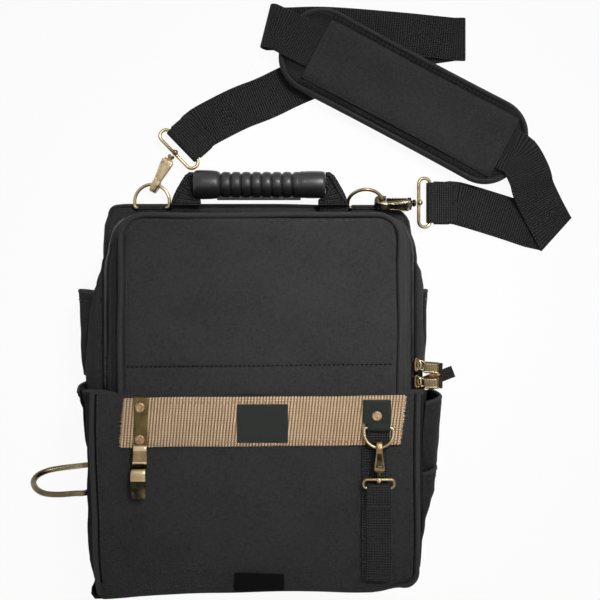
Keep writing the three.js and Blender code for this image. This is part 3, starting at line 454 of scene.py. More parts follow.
def band(form, stations, thickness, look=0, columns=8, edge=None, relief=None):
    """A flat ribbon with rounded edges through stations (centre, half width, normal)."""
    half = thickness / 2
    width = stations[0][1].length
    edge = min((edge or thickness) / width, 0.45)
    inside = [-(1 - edge) + 2 * (1 - edge) * k / columns for k in range(columns + 1)]
    across = [-1, -1 + 0.12 * edge, -1 + 0.45 * edge] + inside + [1 - 0.45 * edge, 1 - 0.12 * edge, 1]

    def rise(s):
        past = (abs(s) - (1 - edge)) / edge
        return 1.0 if past <= 0 else math.sqrt(max(0.0, 1 - past * past))

    profile = [(s, rise(s)) for s in across] + [(s, -rise(s)) for s in across[-2:0:-1]]
    centres = [s[0] for s in stations]
    along = lengths(centres)
    rows = []
    for i, (c, w, n) in enumerate(stations):
        lift = relief(along[i]) if relief else 0.0
        rows.append([c + w * s + n * (h * half + (lift if h > 0 else 0)) for s, h in profile])
    us = [s * width for s, h in profile]
    form.skin(rows, us + [us[0]], along, look)
    return along[-1]


def lay(points, half, normal=UP):
    """Ribbon stations through points, all with one half width."""
    return [(Vector(p), Vector(half), normal) for p in points]


def round_bar(centre, radius, half, angles, across):
    """Ribbon stations round a bar; the angles turn from the direction across towards up."""
    outs = [across * math.cos(a) + UP * math.sin(a) for a in angles]
    return [(centre + out * radius, half, out) for out in outs]


def slab(form, rows, top, base, look=0, coords=None):
    """A closed sheet over rows of (x, y): a top and a base surface, joined along the edge."""
    flat = coords or (lambda x, y: (x, y))
    height, width = len(rows), len(rows[0])
    start = len(form.points)
    for surface in (top, base):
        for row in rows:
            form.points.extend((x, y, surface(x, y)) for x, y in row)
    layer = height * width

    def add(corners, number):
        form.faces.append([start + c for c in corners])
        for c in corners:
            i, j = divmod(c % layer, width)
            form.coords.append(flat(*rows[i][j]))
        form.looks.append(number)

    for i in range(height - 1):
        for j in range(width - 1):
            a, b, c, d = i * width + j, i * width + j + 1, (i + 1) * width + j + 1, (i + 1) * width + j
            add([a, b, c, d], look)
            add([layer + d, layer + c, layer + b, layer + a], look)
    rim = list(range(width)) + [i * width + width - 1 for i in range(1, height)]
    rim += [(height - 1) * width + j for j in range(width - 2, -1, -1)] + [i * width for i in range(height - 2, 0, -1)]
    for a, b in zip(rim, rim[1:] + rim[:1]):
        add([a, layer + a, layer + b, b], look)


def spaced(a, b, count):
    """The ends of so many equal steps from a to b, both included."""
    return [a + (b - a) * k / count for k in range(count + 1)]


def rounded_rows(x0, x1, y0, y1, top_radius, base_radius, columns, rows, corner=6):
    """Rows of (x, y) that fill a rectangle with rounded corners exactly."""
    return panel_rows(
        lambda y: x0, lambda y: x1, lambda x: y0, lambda x: y1,
        (top_radius, top_radius, base_radius, base_radius), columns, rows, corner,
    )


def panel_rows(left, right, base, top, radii, columns, rows, corner=6):
    """Rows of (x, y) between four edges that may bend; radii of the top left, top right, base right and base left."""
    middle = (left(0) + right(0)) / 2
    low, high = base(middle), top(middle)
    head, foot = max(radii[:2]), max(radii[2:])
    levels = [foot * (1 - math.cos(math.pi / 2 * k / corner)) for k in range(corner if foot else 0)]
    levels += spaced(foot, high - low - head, rows)
    for k in range(1, corner + 1 if head else 0):
        levels.append(high - low - head + head * math.sin(math.pi / 2 * k / corner))

    def inset(radius, distance):
        return radius - math.sqrt(max(0.0, radius ** 2 - (radius - distance) ** 2)) if distance < radius else 0.0

    result = []
    for level in levels:
        over = high - low - level
        y = low + level
        x0 = left(y) + max(inset(radii[0], over), inset(radii[3], level))
        x1 = right(y) - max(inset(radii[1], over), inset(radii[2], level))
        share = level / (high - low)
        result.append([(x, base(x) + (top(x) - base(x)) * share) for x in spaced(x0, x1, columns)])
    return result


def thinned(loop, gap):
    """A closed loop of (x, y) without the points that lie nearer than a gap to the one before."""
    kept = [loop[0]]
    for p in loop[1:]:
        if math.dist(p, kept[-1]) > gap:
            kept.append(p)
    if math.dist(kept[0], kept[-1]) < gap:
        kept.pop()
    return kept


def edge_loop(rows):
    """The points round the edge of such rows."""
    loop = list(rows[0]) + [row[-1] for row in rows[1:]] + list(rows[-1][-2::-1]) + [row[0] for row in rows[-2:0:-1]]
    return thinned(loop, 0.6)


def place_on(along, distance):
    """The span of a path that holds a distance, and how far into that span it lies."""
    k = min(max(int(np.searchsorted(along, distance)), 1), len(along) - 1)
    share = (distance - along[k - 1]) / max(along[k] - along[k - 1], 1e-6)
    return k, min(max(share, 0.0), 1.0)


def resampled(points, count):
    """So many points at even distances along a smooth curve through the given ones."""
    path = smooth(points, 1.0)
    along = lengths(path)
    result = []
    for i in range(count):
        k, share = place_on(along, along[-1] * i / (count - 1))
        result.append(path[k - 1].lerp(path[k], share))
    return result


def table(value, stops):
    """A value read from (place, value) stops, eased between them."""
    if value <= stops[0][0]:
        return stops[0][1]
    for (a, first), (b, second) in zip(stops, stops[1:]):
        if value <= b:
            return first + (second - first) * step(value, a, b)
    return stops[-1][1]


def ripple(x, y, z, size, depth, seed=0.0):
    """A soft unevenness of some size and depth."""
    return depth * noise.noise(Vector((x / size + seed, y / size - seed, z / size + 0.37 * seed)))


def step(value, low, high):
    """0 below low and 1 above high, eased between them."""
    t = min(max((value - low) / (high - low), 0.0), 1.0)
    return t * t * (3 - 2 * t)


def stitches(form, path, length, gap, radius, look=0, lift=None):
    """Short threads one after another along a path, each sunk at its ends."""
    random = np.random.default_rng(1)
    path = [Vector(p) for p in path]
    along = lengths(path)
    lift = Vector(lift) if lift else UP

    def at(distance):
        k, share = place_on(along, distance)
        return path[k - 1].lerp(path[k], share)

    place = gap / 2
    while place + length < along[-1]:
        a = at(place + 0.15 * random.random())
        b = at(place + length - 0.15 * random.random())
        middle = (a + b) / 2
        side = (b - a).cross(lift).normalized() * 0.1 * (random.random() - 0.5)
        arc = [a - side - lift * radius * 0.7, a.lerp(middle, 0.4) - side * 0.5 + lift * radius * 0.3,
               middle + lift * radius * 0.5, b.lerp(middle, 0.4) + side * 0.5 + lift * radius * 0.3,
               b + side - lift * radius * 0.7]
        tube(form, arc, [radius * 0.6, radius, radius, radius, radius * 0.6], 6, look=look)
        place += length + gap


def box_stitches(form, x0, x1, y0, y1, z, *thread, look=0):
    """Stitches round a rectangle."""
    loop = [(x0, y0, z), (x1, y0, z), (x1, y1, z), (x0, y1, z), (x0, y0, z)]
    for side in zip(loop, loop[1:]):
        stitches(form, side, *thread, look=look)


# Outlines of the bag

HALF, TOP, CORNER, BASE = 130, 141, 26, -155
FLAP_X, FLAP_HALF, FLAP_TOP, FLAP_CORNER = 4.2, 110.2, 138.4, 19
REAR_Z, FRONT_Z = 58, 95.6
PIPE_Z, PIPE_RADIUS = 98.2, 2.2


def rounded_corner(x, y, radius, start, sweep, count):
    """Points (x, y) and their outward normals round a centre."""
    normals = [(math.cos(a), math.sin(a)) for a in arc(start, sweep, count)]
    return [((x + radius * nx, y + radius * ny), (nx, ny)) for nx, ny in normals]


def arch(centre, half, start, end, radius, legs=30, corner=9, across=30):
    """Points (x, y) and their outward normals, from the right foot over the top to the left foot."""
    right, left, turn_y = centre + half - radius, centre - half + radius, end - radius
    stations = [((centre + half, y), (1, 0)) for y in spaced(start, turn_y, legs)[:-1]]
    stations += rounded_corner(right, turn_y, radius, 0, 90, corner)
    stations += [((x, end), (0, 1)) for x in spaced(right, left, across)[1:-1]]
    stations += rounded_corner(left, turn_y, radius, 90, 90, corner)
    stations += [((centre - half, y), (-1, 0)) for y in spaced(turn_y, start, legs)[1:]]
    return stations


LEFT_RIDGE = ((-20, 13), (12, 13.4), (38, 12.4), (60, 10.2), (75, 7.6), (86, 4.0), (100, -1.0), (113, -5.2),
              (124, -7.0))
RIGHT_RIDGE = ((-20, 7.8), (80, 8.6), (94, 6.8), (105, 2.0), (113, -1.4), (124, -3.4))


def ridge(nx, y):
    """How far the side wall's ridge beside the zipper swells out or draws in, by side and height."""
    side = table(y, LEFT_RIDGE if nx < 0 else RIGHT_RIDGE)
    return abs(nx) * side + (1 - abs(nx)) * -2.2


def zip_foot(n, y):
    """Where the zipper's tape starts from the wall: distance out and height."""
    pulled = min(ridge(n[0], y), 0)
    if n[0] < 0:
        return -n[0] * (-3.6 + 0.75 * pulled) + (1 + n[0]) * -1.6, REAR_Z + 8.2 * -n[0]
    return n[0] * 0.6 * pulled + (1 - n[0]) * -1.6, REAR_Z


LOWER_LEFT = ((-165, -4.0), (-157, -1.5), (-150, 3.0), (-138, 5.6), (-125, 7.2), (-113, 7.9), (-101, 8.0), (-76, 8.8),
              (-58, 8.4), (-45, 8.0), (-18, 9.4), (0, 12.6))


def lower_bulge(nx, y, z):
    """How far the lower wall swells out; on the left it is held flat under the hammer loop's plate."""
    if nx < 0:
        rise = table(z, ((4, 0.0), (30, 0.4), (50, 0.68), (66, 0.9), (76, 1.0), (86, 0.78), (96, 0.1)))
        held = math.exp(-((y + 79) / 24) ** 4 - ((z - 47) / 33) ** 4)
        return -nx * rise * table(y, LOWER_LEFT) * (1 - held)
    rise = table(z, ((4, 0.0), (30, 0.55), (58, 0.95), (74, 1.0), (86, 0.75), (96, 0.1)))
    return nx * rise * (2.2 + 2.3 * step(y, -160, -90) + 3.4 * step(y, -40, -2))


# Shell

def section_sheet(name, stations, section, thickness, look, body, slot, replaces, count, seed):
    """A closed sheet of cloth swept past stations; a section gives (distance out, height) from its foot to its lip."""
    outer, inner = [], []
    for p, n in stations:
        path = resampled([(d, z, 0) for d, z in section(p, n)], count)
        rows = []
        for i, c in enumerate(path):
            way = way_at(path, i)
            place = (p[0] + n[0] * c.x, p[1] + n[1] * c.x, c.y)
            calm = min(1.0, i / 3, (count - 1 - i) / 3)
            out = calm * (ripple(*place, 32, 1.3, seed) + ripple(*place, 12, 0.35, seed))
            rows.append((c, Vector((way.y, -way.x, 0)), out))
        for target, drop in ((outer, 0), (inner, thickness)):
            line = [c + normal * (out - drop) for c, normal, out in rows]
            target.append([Vector((p[0] + n[0] * q.x, p[1] + n[1] * q.x, q.y)) for q in line])
    along = lengths([Vector((*p, 0)) for p, n in stations])
    return settle(folded(name, outer, inner, along, look), body, slot, *replaces)


def folded(name, outer, inner, along, look):
    """The closed sheet between two like grids of points, as a piece."""
    form = Form()
    count = len(outer[0])
    height = lengths(outer[len(outer) // 2])
    loop = [a + b[::-1] for a, b in zip(outer, inner)]
    us = height + height[::-1] + [height[0]]
    start = form.grid(loop, us, along, 0, close_u=True)
    size = 2 * count
    for row, turn in ((0, -1), (len(loop) - 1, 1)):
        for k in range(count - 1):
            quad = [k, k + 1, size - 2 - k, size - 1 - k][::turn]
            form.face([start + row * size + q for q in quad], [(us[q], along[row]) for q in quad])
    return made(name, form, look)


def edge_mass(distance, width):
    """The rounding of a padded edge: 0 at the edge and 1 from some width inwards."""
    return 1.0 if distance > width else math.sqrt(max(0.0, 1 - (1 - distance / width) ** 2))


BACK_BASE = -154.2


def back_left(y):
    return -129.6 - table(y, ((0, 0), (60, 1.5), (92, 6.0), (116, 7.2), (136, 6.2), (150, 2.6), (156, 1.2)))


def back_right(y):
    return 129.5 + table(y, ((40, 0), (100, 2.6), (126, 3.2), (142, 1.5), (156, 0)))


def back_top(x):
    return 154.6 - 2.4 * step(x, 10, 112) - 1.0 * step(-x, 118, 132)


def back_panel():
    form = Form()
    rows = panel_rows(back_left, back_right, lambda x: BACK_BASE, back_top, (4.5, 16, 12, 12), 66, 74)

    def near(x, y):
        return max(min(x - back_left(y), back_right(y) - x, back_top(x) - y, y - BACK_BASE), 0)

    def top(x, y):
        return 2.4 + 1.6 * edge_mass(near(x, y), 5) + ripple(x, y, 0, 30, 0.5, 3)

    def base(x, y):
        return 2.2 - 2.0 * edge_mass(near(x, y), 5) + 0.6 * abs(ripple(x, y, 9, 40, 0.7, 8)) * edge_mass(near(x, y), 9)

    slab(form, rows, top, base)
    put("back_panel_cloth", form, "fabric", "bag", "fabric", "back_panel")

    edge = Form()
    tube(edge, [(x, y, 2.3) for x, y in edge_loop(rows)], 1.9, 10, True, start_normal=UP, flat=1.15)
    put("back_binding", edge, "binding", "bag", "binding")

    seams = Form()
    inset = 5
    inner = panel_rows(lambda y: back_left(y) + inset, lambda y: back_right(y) - inset, lambda x: BACK_BASE + inset,
                       lambda x: back_top(x) - inset, (3, 12, 9, 9), 66, 74)
    for z, side in ((4.2, UP), (0.4, -UP)):
        stitches(seams, [(x, y, z) for x, y in edge_loop(inner)], 3.0, 1.3, 0.3, lift=side)
    put("back_stitching", seams, "thread", "bag", "fabric")


def lower_base(x):
    """The lower edge of the front, which hangs lower at its left end."""
    sway = 0.7 * math.sin(x / 21) * step(x, -128, -80) * (1 - step(x, 70, 100))
    return -160.6 - 5.8 * (1 - step(x, -128, -30)) + sway + 6.6 * step(x, 92, 116)


def lower_left(y):
    return -128.2 + 3.4 * (1 - step(y, -160, -50)) + 2.0 * (1 - step(y, -164, -128)) + 0.5 * math.sin(y / 19)


def lower_right(y):
    return 127.9 - 0.8 * (1 - step(y, -155, -100)) + 0.4 * math.sin(y / 23 + 1)


def lower_course(corner_left, corner_right):
    """Points and outward normals round the lower wall, from its right end to its left end."""
    stations = [((HALF, y), (1, 0)) for y in spaced(-2.3, BASE + corner_right, 34)[:-1]]
    stations += rounded_corner(HALF - corner_right, BASE + corner_right, corner_right, 0, -90, 7)
    stations += [((x, BASE), (0, -1)) for x in spaced(HALF - corner_right, corner_left - HALF, 50)[1:-1]]
    stations += rounded_corner(corner_left - HALF, BASE + corner_left, corner_left, -90, -90, 5)
    stations += [((-HALF, y), (-1, 0)) for y in spaced(BASE + corner_left, -2.3, 34)[1:]]
    return stations


def lower_shell():
    def section(p, n):
        hang = max(0.0, -n[1]) ** 4 * (BASE - lower_base(p[0]) - 1.2)
        draw = 3.4 * max(0.0, -n[0]) * (1 - step(p[1], -160, -50))
        points = []
        for z in (4.2, 16, 32, 48, 62, 74, 84, 91, 95.2):
            low = step(z, 4, 70)
            points.append((lower_bulge(n[0], p[1], z) + hang * low + abs(n[1]) * 0.8 * math.sin(math.pi * z / 96)
                           - draw * step(z, 76, 96) - 2.0 * abs(n[0]) * step(z, 80, 93), z))
        return points

    # The lower wall wears the darker nylon, painted shade where it turns away from the light
    section_sheet("lower_side_cloth", lower_course(3, 11), section, 3, "dim", "bag", "fabric",
                  ["lower_gusset"], 26, 1.0)

    form = Form()

    def base(x):
        return lower_base(x) - 0.3

    rows = panel_rows(lambda y: lower_left(y) + 1.1, lambda y: lower_right(y) - 1.1, base, lambda x: -2.4,
                      (0, 0, 10, 3.5), 76, 50, 8)

    def front(x, y):
        near = min(x - lower_left(y), lower_right(y) - x)
        roll = 6.5 * (1 - edge_mass(max(y - base(x), 0), 6.5)) + 1.2 * (1 - step(y - base(x), 4, 26))
        crown = 1.0 * math.cos(math.pi * x / 270) * math.sin(math.pi * min(max((y + 158) / 158, 0), 1))
        height = 99.0 + crown - 1.6 * (1 - edge_mass(max(near, 0), 7)) + ripple(x, y, 0, 45, 1.0, 5)
        return min(height + ripple(x, y, 0, 15, 0.2, 5), 100.1) - roll

    slab(form, rows, front, lambda x, y: front(x, y) - 2.6)
    put("lower_front_cloth", form, "fabric", "bag", "fabric", "lower_front_panel")

    pipe = Form()
    left = [(lower_left(y), y, PIPE_Z) for y in spaced(-2.3, -156, 34)] + [(lower_left(-158), -159, 97.2)]
    left += [(lower_left(-160) + 0.6, -161.6, 94.5), (lower_left(-160) + 1.5, -162.6, 91)]
    tube(pipe, left, [PIPE_RADIUS] * 33 + [2.1, 2.0, 1.8, 1.5, 1.2], 10, start_normal=UP)
    right = [(lower_right(y), y, PIPE_Z) for y in spaced(-2.3, -143.4, 32)]
    for k, angle in list(enumerate(arc(0, -90, 8)))[1:]:
        x = lower_right(-146) - 10.5 * (1 - math.cos(angle))
        right.append((x, -143.4 + 10.8 * math.sin(angle), PIPE_Z - 0.16 * k))
    right += [(x, lower_base(x) + 0.07 * (114 - x), 96.6 - 0.12 * (114 - x)) for x in spaced(114, 84, 8)]
    thins = 38
    radii = [PIPE_RADIUS - 1.7 * max(k - thins, 0) / (len(right) - thins - 1) for k in range(len(right))]
    tube(pipe, right, radii, 10, start_normal=UP)
    put("lower_piping", pipe, "binding", "bag", "binding", "lower_front_piping")

    # A dark cord laid beside each lower piping: painted shade in the groove there, not a tape
    groove = Form()
    for edge, side, sink in ((lower_left, 2.7, 0.85), (lower_right, -2.5, 1.05)):
        tube(groove, [(edge(y) + side, y, front(edge(y) + side, y) - sink) for y in spaced(-3, -152, 40)],
             1.25, 8, start_normal=UP)
    put("lower_groove_painted_shade", groove, "sunk", "bag", "fabric")

    seam = Form()
    for edge, side in ((lower_left, 4.2), (lower_right, -4.2)):
        line = [(edge(y) + side, y, front(edge(y) + side, y) + 0.12) for y in spaced(-3.5, -150, 50)]
        stitches(seam, line, 3, 1.3, 0.28)
    put("lower_stitching", seam, "thread", "bag", "fabric")

    for name, side in (("shoulder_left", -1), ("shoulder_right", 1)):
        outer, inner = [], []
        for z in spaced(56, 98.6, 16):
            share = (z - REAR_Z) / (FRONT_Z - REAR_Z)
            near = (FLAP_X + side * (FLAP_HALF - 3)) * share + side * (HALF - 7) * (1 - share)
            far = side * (HALF + lower_bulge(side, -3, z) - 1.2 - 1.6 * step(z, 84, 98))
            lean = 1.4 * step(z, 90, 98.6)
            outer.append([Vector((x, -1.9 - lean, z)) for x in spaced(near, far, 8)])
            inner.append([Vector((x, -3.7 - lean, z)) for x in spaced(near, far, 8)])
        settle(folded(name, outer, inner, spaced(0, 43, 16), "fabric"), "bag", "fabric")


def slope_frames(start_y, *counts):
    """The slope at each station of the arch: its rear edge, the way up, the way out, and its length."""
    frames = []
    rear = arch(0, HALF, start_y, TOP, CORNER, *counts)
    flap = arch(FLAP_X, FLAP_HALF, start_y, FLAP_TOP, FLAP_CORNER, *counts)
    for (p, n), (q, m) in zip(rear, flap):
        out, height = zip_foot(n, p[1])
        a = Vector((p[0] + n[0] * out, p[1] + n[1] * out, height))
        way = Vector((*q, FRONT_Z)) - a
        length = way.length
        way.normalize()
        side = Vector((*n, 0))
        frames.append((a, way, (side - way * side.dot(way)).normalized(), length))
    return frames


def slope_strip(name, profile, start_y, look, body, slot, replaces, seed=0.0, fold=0.0):
    """A strip along the arch: profile gives its section (way up the slope, way out) for a slope of some length."""
    rows = []
    for a, way, normal, length in slope_frames(start_y):
        row = []
        for distance, out in profile(length):
            c = a + way * distance
            row.append(c + normal * (out + ripple(*c, 22, fold, seed)))
        rows.append(row)
    along = lengths([r[0] for r in rows])
    us = lengths(rows[len(rows) // 2] + [rows[len(rows) // 2][0]])
    form = Form()
    form.skin(rows, us, along)
    put(name, form, look, body, slot, *replaces)


ZIP_FOOT, ZIP_WIDTH = 0.3, 7.0
ZIP_MIDDLE = ZIP_FOOT + ZIP_WIDTH + 0.15


def zipper():
    def tape(a, b, top):
        return lambda length: [(a, -1.1), (b, -1.1), (b, top - 0.3), ((a + b) / 2, top), (a, top - 0.1)]

    slope_strip("rear_zip_cloth", tape(-0.6, ZIP_MIDDLE - 0.25, -0.2), -2.6, "zip",
                "bag", "zip", ["rear_zip_tape"])
    slope_strip("flap_zip_cloth", tape(ZIP_MIDDLE + 0.25, ZIP_MIDDLE + 8.2, -0.2), -2.6, "zip",
                "flap", "zip", ["flap_zip_tape"])
    for name, side, body, node, start in (
        ("rear_zip_teeth", -1, "bag", "rear_zip_coil", -1.5),
        ("flap_zip_teeth", 1, "flap", "flap_zip_coil", 26.0),
    ):
        frames = slope_frames(-1.7, 60, 20, 60)
        middle = [a + way * ZIP_MIDDLE for a, way, normal, length in frames]
        along = lengths(middle)
        form = Form()
        pitch = 1.9
        place = 0.4 + (pitch / 2 if side > 0 else 0)
        while place < along[-1] - 1:
            k, share = place_on(along, place)
            c = middle[k - 1].lerp(middle[k], share)
            if c.y > start:
                way, normal = (frames[k - 1][part].lerp(frames[k][part], share).normalized() for part in (1, 2))
                far = c + way * (side * 2.1)
                near = c + way * side * 0.12
                tube(form, [near + normal * 0.25, near + normal * 1.0, far + normal * 0.95, far + normal * 0.1],
                     [0.5, 0.62, 0.62, 0.5], 6)
            place += pitch
        put(name, form, "coil", body, "zip", node)
    frames = slope_frames(-1.2)
    foot, last = 42, len(frames)
    parts = ((0, foot, (1, 0, 0.5)), (foot, last - foot, (0, 1, 0.5)), (last - foot, last, (-1, 0, 0.5)))
    for offset, target in ((1.4, "bag"), (ZIP_MIDDLE + 6.6, "flap")):
        line = [a + way * offset + normal * 0.05 for a, way, normal, length in frames]
        form = Form()
        for first, end, lift in parts:
            stitches(form, line[first:end + 1], 2.6, 1.2, 0.24, lift=Vector(lift).normalized())
        put("zip_stitching_" + target, form, "thread", target, "zip")


def upper_shell():
    def section(p, n):
        full = ridge(n[0], p[1])
        foot, height = zip_foot(n, p[1])
        span = full - foot
        points = [(0.0, 4.2), (0.3 * full, 16), (0.66 * full, 30), (0.92 * full + 0.3, 43), (full, 52)]
        if n[0] < 0:
            rise = height - REAR_Z
            points += [(full - 0.09 * span, 57.0), (full - 0.26 * span, 59.5 + 0.1 * rise),
                       (foot + 0.56 * span, 59.8 + 0.2 * rise), (foot + 0.46 * span, 60.6 + 0.35 * rise),
                       (foot + 0.3 * span, 60.9 + 0.8 * rise), (foot + 0.14 * span, 60.6 + 0.95 * rise),
                       (foot + 0.02 * span, 58.6 + rise), (foot - 0.2, 57.6 + rise)]
        else:
            points += [(full - 0.06 * span, 56.6), (full - 0.26 * span, 59.8), (foot + 0.48 * span, 60.9),
                       (foot + 0.24 * span, 60.4), (foot + 0.5, 59.0), (foot + 0.1, 57.6)]
        return points

    section_sheet("upper_side_cloth", arch(0, HALF, -3.0, TOP, CORNER), section, 1.8, "fabric", "bag", "fabric",
                  ["upper_gusset"], 44, 2.0)


def flap_shell():
    def gusset(length):
        low, high = ZIP_MIDDLE + 7.4, length - 0.4
        shares = spaced(0, 1, 22)
        outer = []
        for s in shares:
            fold = 0.8 * math.sin(math.pi * s) + 2.3 * math.exp(-((s - 0.24) / 0.13) ** 2)
            fold += 1.0 * math.exp(-((s - 0.6) / 0.1) ** 2) - 1.1 * math.exp(-((s - 0.78) / 0.08) ** 2)
            outer.append((low + (high - low) * s, fold - 0.3))
        inner = [(low + (high - low) * s, -2.4 + 0.8 * math.sin(math.pi * s)) for s in shares[::-2]]
        return outer + inner

    slope_strip("flap_side_cloth", gusset, -2.6, "fabric", "flap", "fabric", ["flap_gusset"], 4.0, 1.2)

    pipe = Form()
    course = []
    for (x, y), (nx, ny) in arch(FLAP_X, FLAP_HALF, -2.6, FLAP_TOP, FLAP_CORNER):
        out = ripple(x, y, 0, 42, 0.9, 7)
        course.append((x + nx * out, y + ny * out, PIPE_Z + ripple(x, y, 0, 30, 0.3, 6)))
    tube(pipe, course, PIPE_RADIUS, 10, start_normal=UP)
    put("flap_piping_cord", pipe, "binding", "flap", "binding", "flap_piping")

    form = Form()
    half = FLAP_HALF - 1.6
    rows = rounded_rows(FLAP_X - half, FLAP_X + half, -2.4, FLAP_TOP - 1.6, FLAP_CORNER - 2, 0, 66, 52, 7)

    def front(x, y):
        near = min(half - abs(x - FLAP_X), FLAP_TOP - 1.6 - y)
        crown = 1.5 * math.cos(math.pi * (x - 3) / 230) * math.sin(math.pi * min(max((y + 25) / 170, 0), 1))
        seam = 0.9 * math.exp(-((y - seam_y(x)) / 1.2) ** 2)
        pull = 1.1 * math.exp(-(((y - 126 + 0.03 * (x - 40)) / 4) ** 2)) * step(abs(x + 10), 20, 70) * 0.6
        sag = 1.0 * math.exp(-((y - 118 - 0.06 * x) / 9) ** 2) * math.exp(-((x + 20) / 60) ** 2)
        return min(98.8 + crown - 2.2 * (1 - edge_mass(near, 9)) - seam - pull - sag
                   + ripple(x, y, 0, 52, 1.5, 9) + ripple(x, y, 0, 17, 0.35, 9), 101.5)

    slab(form, rows, front, lambda x, y: front(x, y) - 2.6)
    put("flap_front_cloth", form, "fabric", "flap", "fabric", "flap_panel")

    seam = Form()
    line = [(x, seam_y(x), front(x, seam_y(x)) + 0.35) for x in spaced(FLAP_X - half + 2, FLAP_X + half - 2, 60)]
    # The seam's stitches wear the near-black thread: black thread with the painted shade of the stitch holes
    stitches(seam, line, 2.2, 1.5, 0.62, look=1)
    edge = [p for p, n in arch(FLAP_X, FLAP_HALF - 4.6, 0, FLAP_TOP - 4.6, FLAP_CORNER - 5)]
    stitches(seam, [(x, y, front(x, y) + 0.12) for x, y in edge], 3, 1.3, 0.26)
    put("flap_stitching", seam, ["thread", "sunk"], "flap", "fabric")

    hinge = Form()
    band(hinge, lay([(FLAP_X, y, 96.6) for y in spaced(-7, 5, 8)], (103, 0, 0)), 0.9, columns=20)
    piece = made("hinge_cloth", hinge, "fabric")
    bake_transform(piece)


def seam_y(x):
    return 19.4 + 0.011 * (x + 20)


# Pockets

# Side, mouth, base, rear and front height, how far it stands out by height, and how far its mouth dips at the wall
POCKETS = {
    "left_upper_pocket": (-1, 80, 8, 8, 54, ((8, 18.0), (40, 18.6), (80, 20.4)), 2.5),
    "left_lower_pocket": (-1, 2.0, -50, 14, 80, ((-50, 7.6), (-30, 8.6), (-22, 9.8), (-10, 13.6), (3, 15.4)), 5),
    "right_upper_pocket": (1, 80, 16, 8, 54, ((16, 11.0), (80, 12.0)), 1.5),
    "right_middle_pocket": (1, -5.6, -68, 14, 84, ((-68, 16.4), (-56, 17.4), (-32, 18.8), (-5.6, 20.6)), 5.5),
    "right_lower_pocket": (1, -63.5, -146, 14, 82, ((-146, 0.2), (-139, 1.8), (-130, 3.4), (-109, 7.4), (-92, 11.6),
                                                    (-81, 14.8), (-63, 16.6)), 5),
}


def wall_out(side, y, z):
    """How far the wall behind a pocket stands out."""
    if y < -2.2:
        return lower_bulge(side, y, z)
    return ridge(side, y) * table(z, ((4.2, 0), (16, 0.3), (30, 0.66), (43, 0.92), (52, 1)))


def pocket(name, side, mouth, base, low, high, stops, dip):
    """A bellows pocket: one bent sheet sewn to the wall at its two sides and its base, with a bound mouth."""
    count, middle = 36, (low + high) / 2
    heights = spaced(base, mouth, 26)
    sheets = []
    for thick in (0.0, 1.6):
        rows = []
        for y in heights:
            share = (y - base) / (mouth - base)
            row = []
            for k in range(count + 1):
                angle = math.pi * k / count
                reach = abs(math.sin(angle)) ** 0.34
                across = -math.copysign(abs(math.cos(angle)) ** 0.3, math.cos(angle))
                z = middle + across * (high - low) / 2 * (1 - thick / (high - low) * 2)
                z -= 9 * (1 - share) ** 5 * step(z, middle, high)
                swell = reach * (table(y, stops) + ripple(y, z, 0, 15, 1.1, len(name)))
                out = max(swell, wall_out(side, y, z) + 0.7 * reach) - thick * reach
                low_edge = dip * (1 - reach ** 2) * share ** 3
                row.append((side * (HALF + 0.4 + out), y - low_edge + (0.9 * thick if share < 0.03 else 0), z))
            rows.append(row)
        sheets.append(rows)
    outer, inner = sheets
    size = len(heights)
    us = lengths(outer[size // 2])
    form = Form()
    form.grid(outer, us, heights, 0)
    form.grid(inner, us, heights, 0, flip=True)
    for k in range(count):
        for row in (-1, 0):
            form.grid([outer[row][k:k + 2], inner[row][k:k + 2]], us[k:k + 2], [0, 2], 0)
    for k in (0, count):
        for j in range(size - 1):
            form.grid([[outer[j][k], outer[j + 1][k]], [inner[j][k], inner[j + 1][k]]], heights[j:j + 2], [0, 2], 0)
    put(name + "_cloth", form, "shade", "bag", "fabric", name)

    trim = Form()
    rim = [(Vector(a) + Vector(b)) / 2 - Vector((0, 0.8, 0)) for a, b in zip(outer[-1], inner[-1])]
    tube(trim, rim, 1.35, 8, flat=1.3, start_normal=(0, 1, 0))
    put(name + "_binding", trim, "binding", "bag", "binding")
    seam = Form()
    row = outer[-1 - max(1, round(7 / (heights[1] - heights[0])))]
    for look, part in ((0, row[3:22]), (1, row[25:33]), (0, row[32:-1])):
        stitches(seam, [Vector(p) + Vector((side * 0.3, 0, 0.5)) for p in part], 2.8, 1.3, 0.42, look=look,
                 lift=Vector((side, 0, 0.8)).normalized())
    put(name + "_stitching", seam, ["thread", "pale"], "bag", "fabric")


def inner_pocket():
    form = Form()
    rows = rounded_rows(-97.5, 97.5, -137.5, -26.5, 0, 9, 40, 24)

    def top(x, y):
        near = min(97.5 - abs(x), y + 137.5)
        return 5 + 11.2 * edge_mass(max(near, 0), 12) + ripple(x, y, 0, 30, 0.8, 3)

    slab(form, rows, top, lambda x, y: top(x, y) - 1.7)
    put("inner_pocket_cloth", form, "lining", "bag", "fabric", "inner_pocket")
    trim = Form()
    tube(trim, [(x, -26.6, top(x, -27) - 0.9) for x in spaced(-97, 97, 40)], 1.4, 8, start_normal=UP)
    put("inner_pocket_binding", trim, "binding", "bag", "binding")


# Front band and what it carries

BAND = (-106, 117, -43.2, -4.7)


def band_rise(x):
    return (x - 5.5) * 0.0085


def band_lean(x, y):
    """The band's ends are cut aslant, the right one more than the left."""
    x0, x1, y0, y1 = BAND
    share = (x - x0) / (x1 - x0)
    return (0.2 * (1 - share) - 3.6 * share) + (y - y0) / (y1 - y0) * (3.1 * (1 - share) + 5.0 * share)


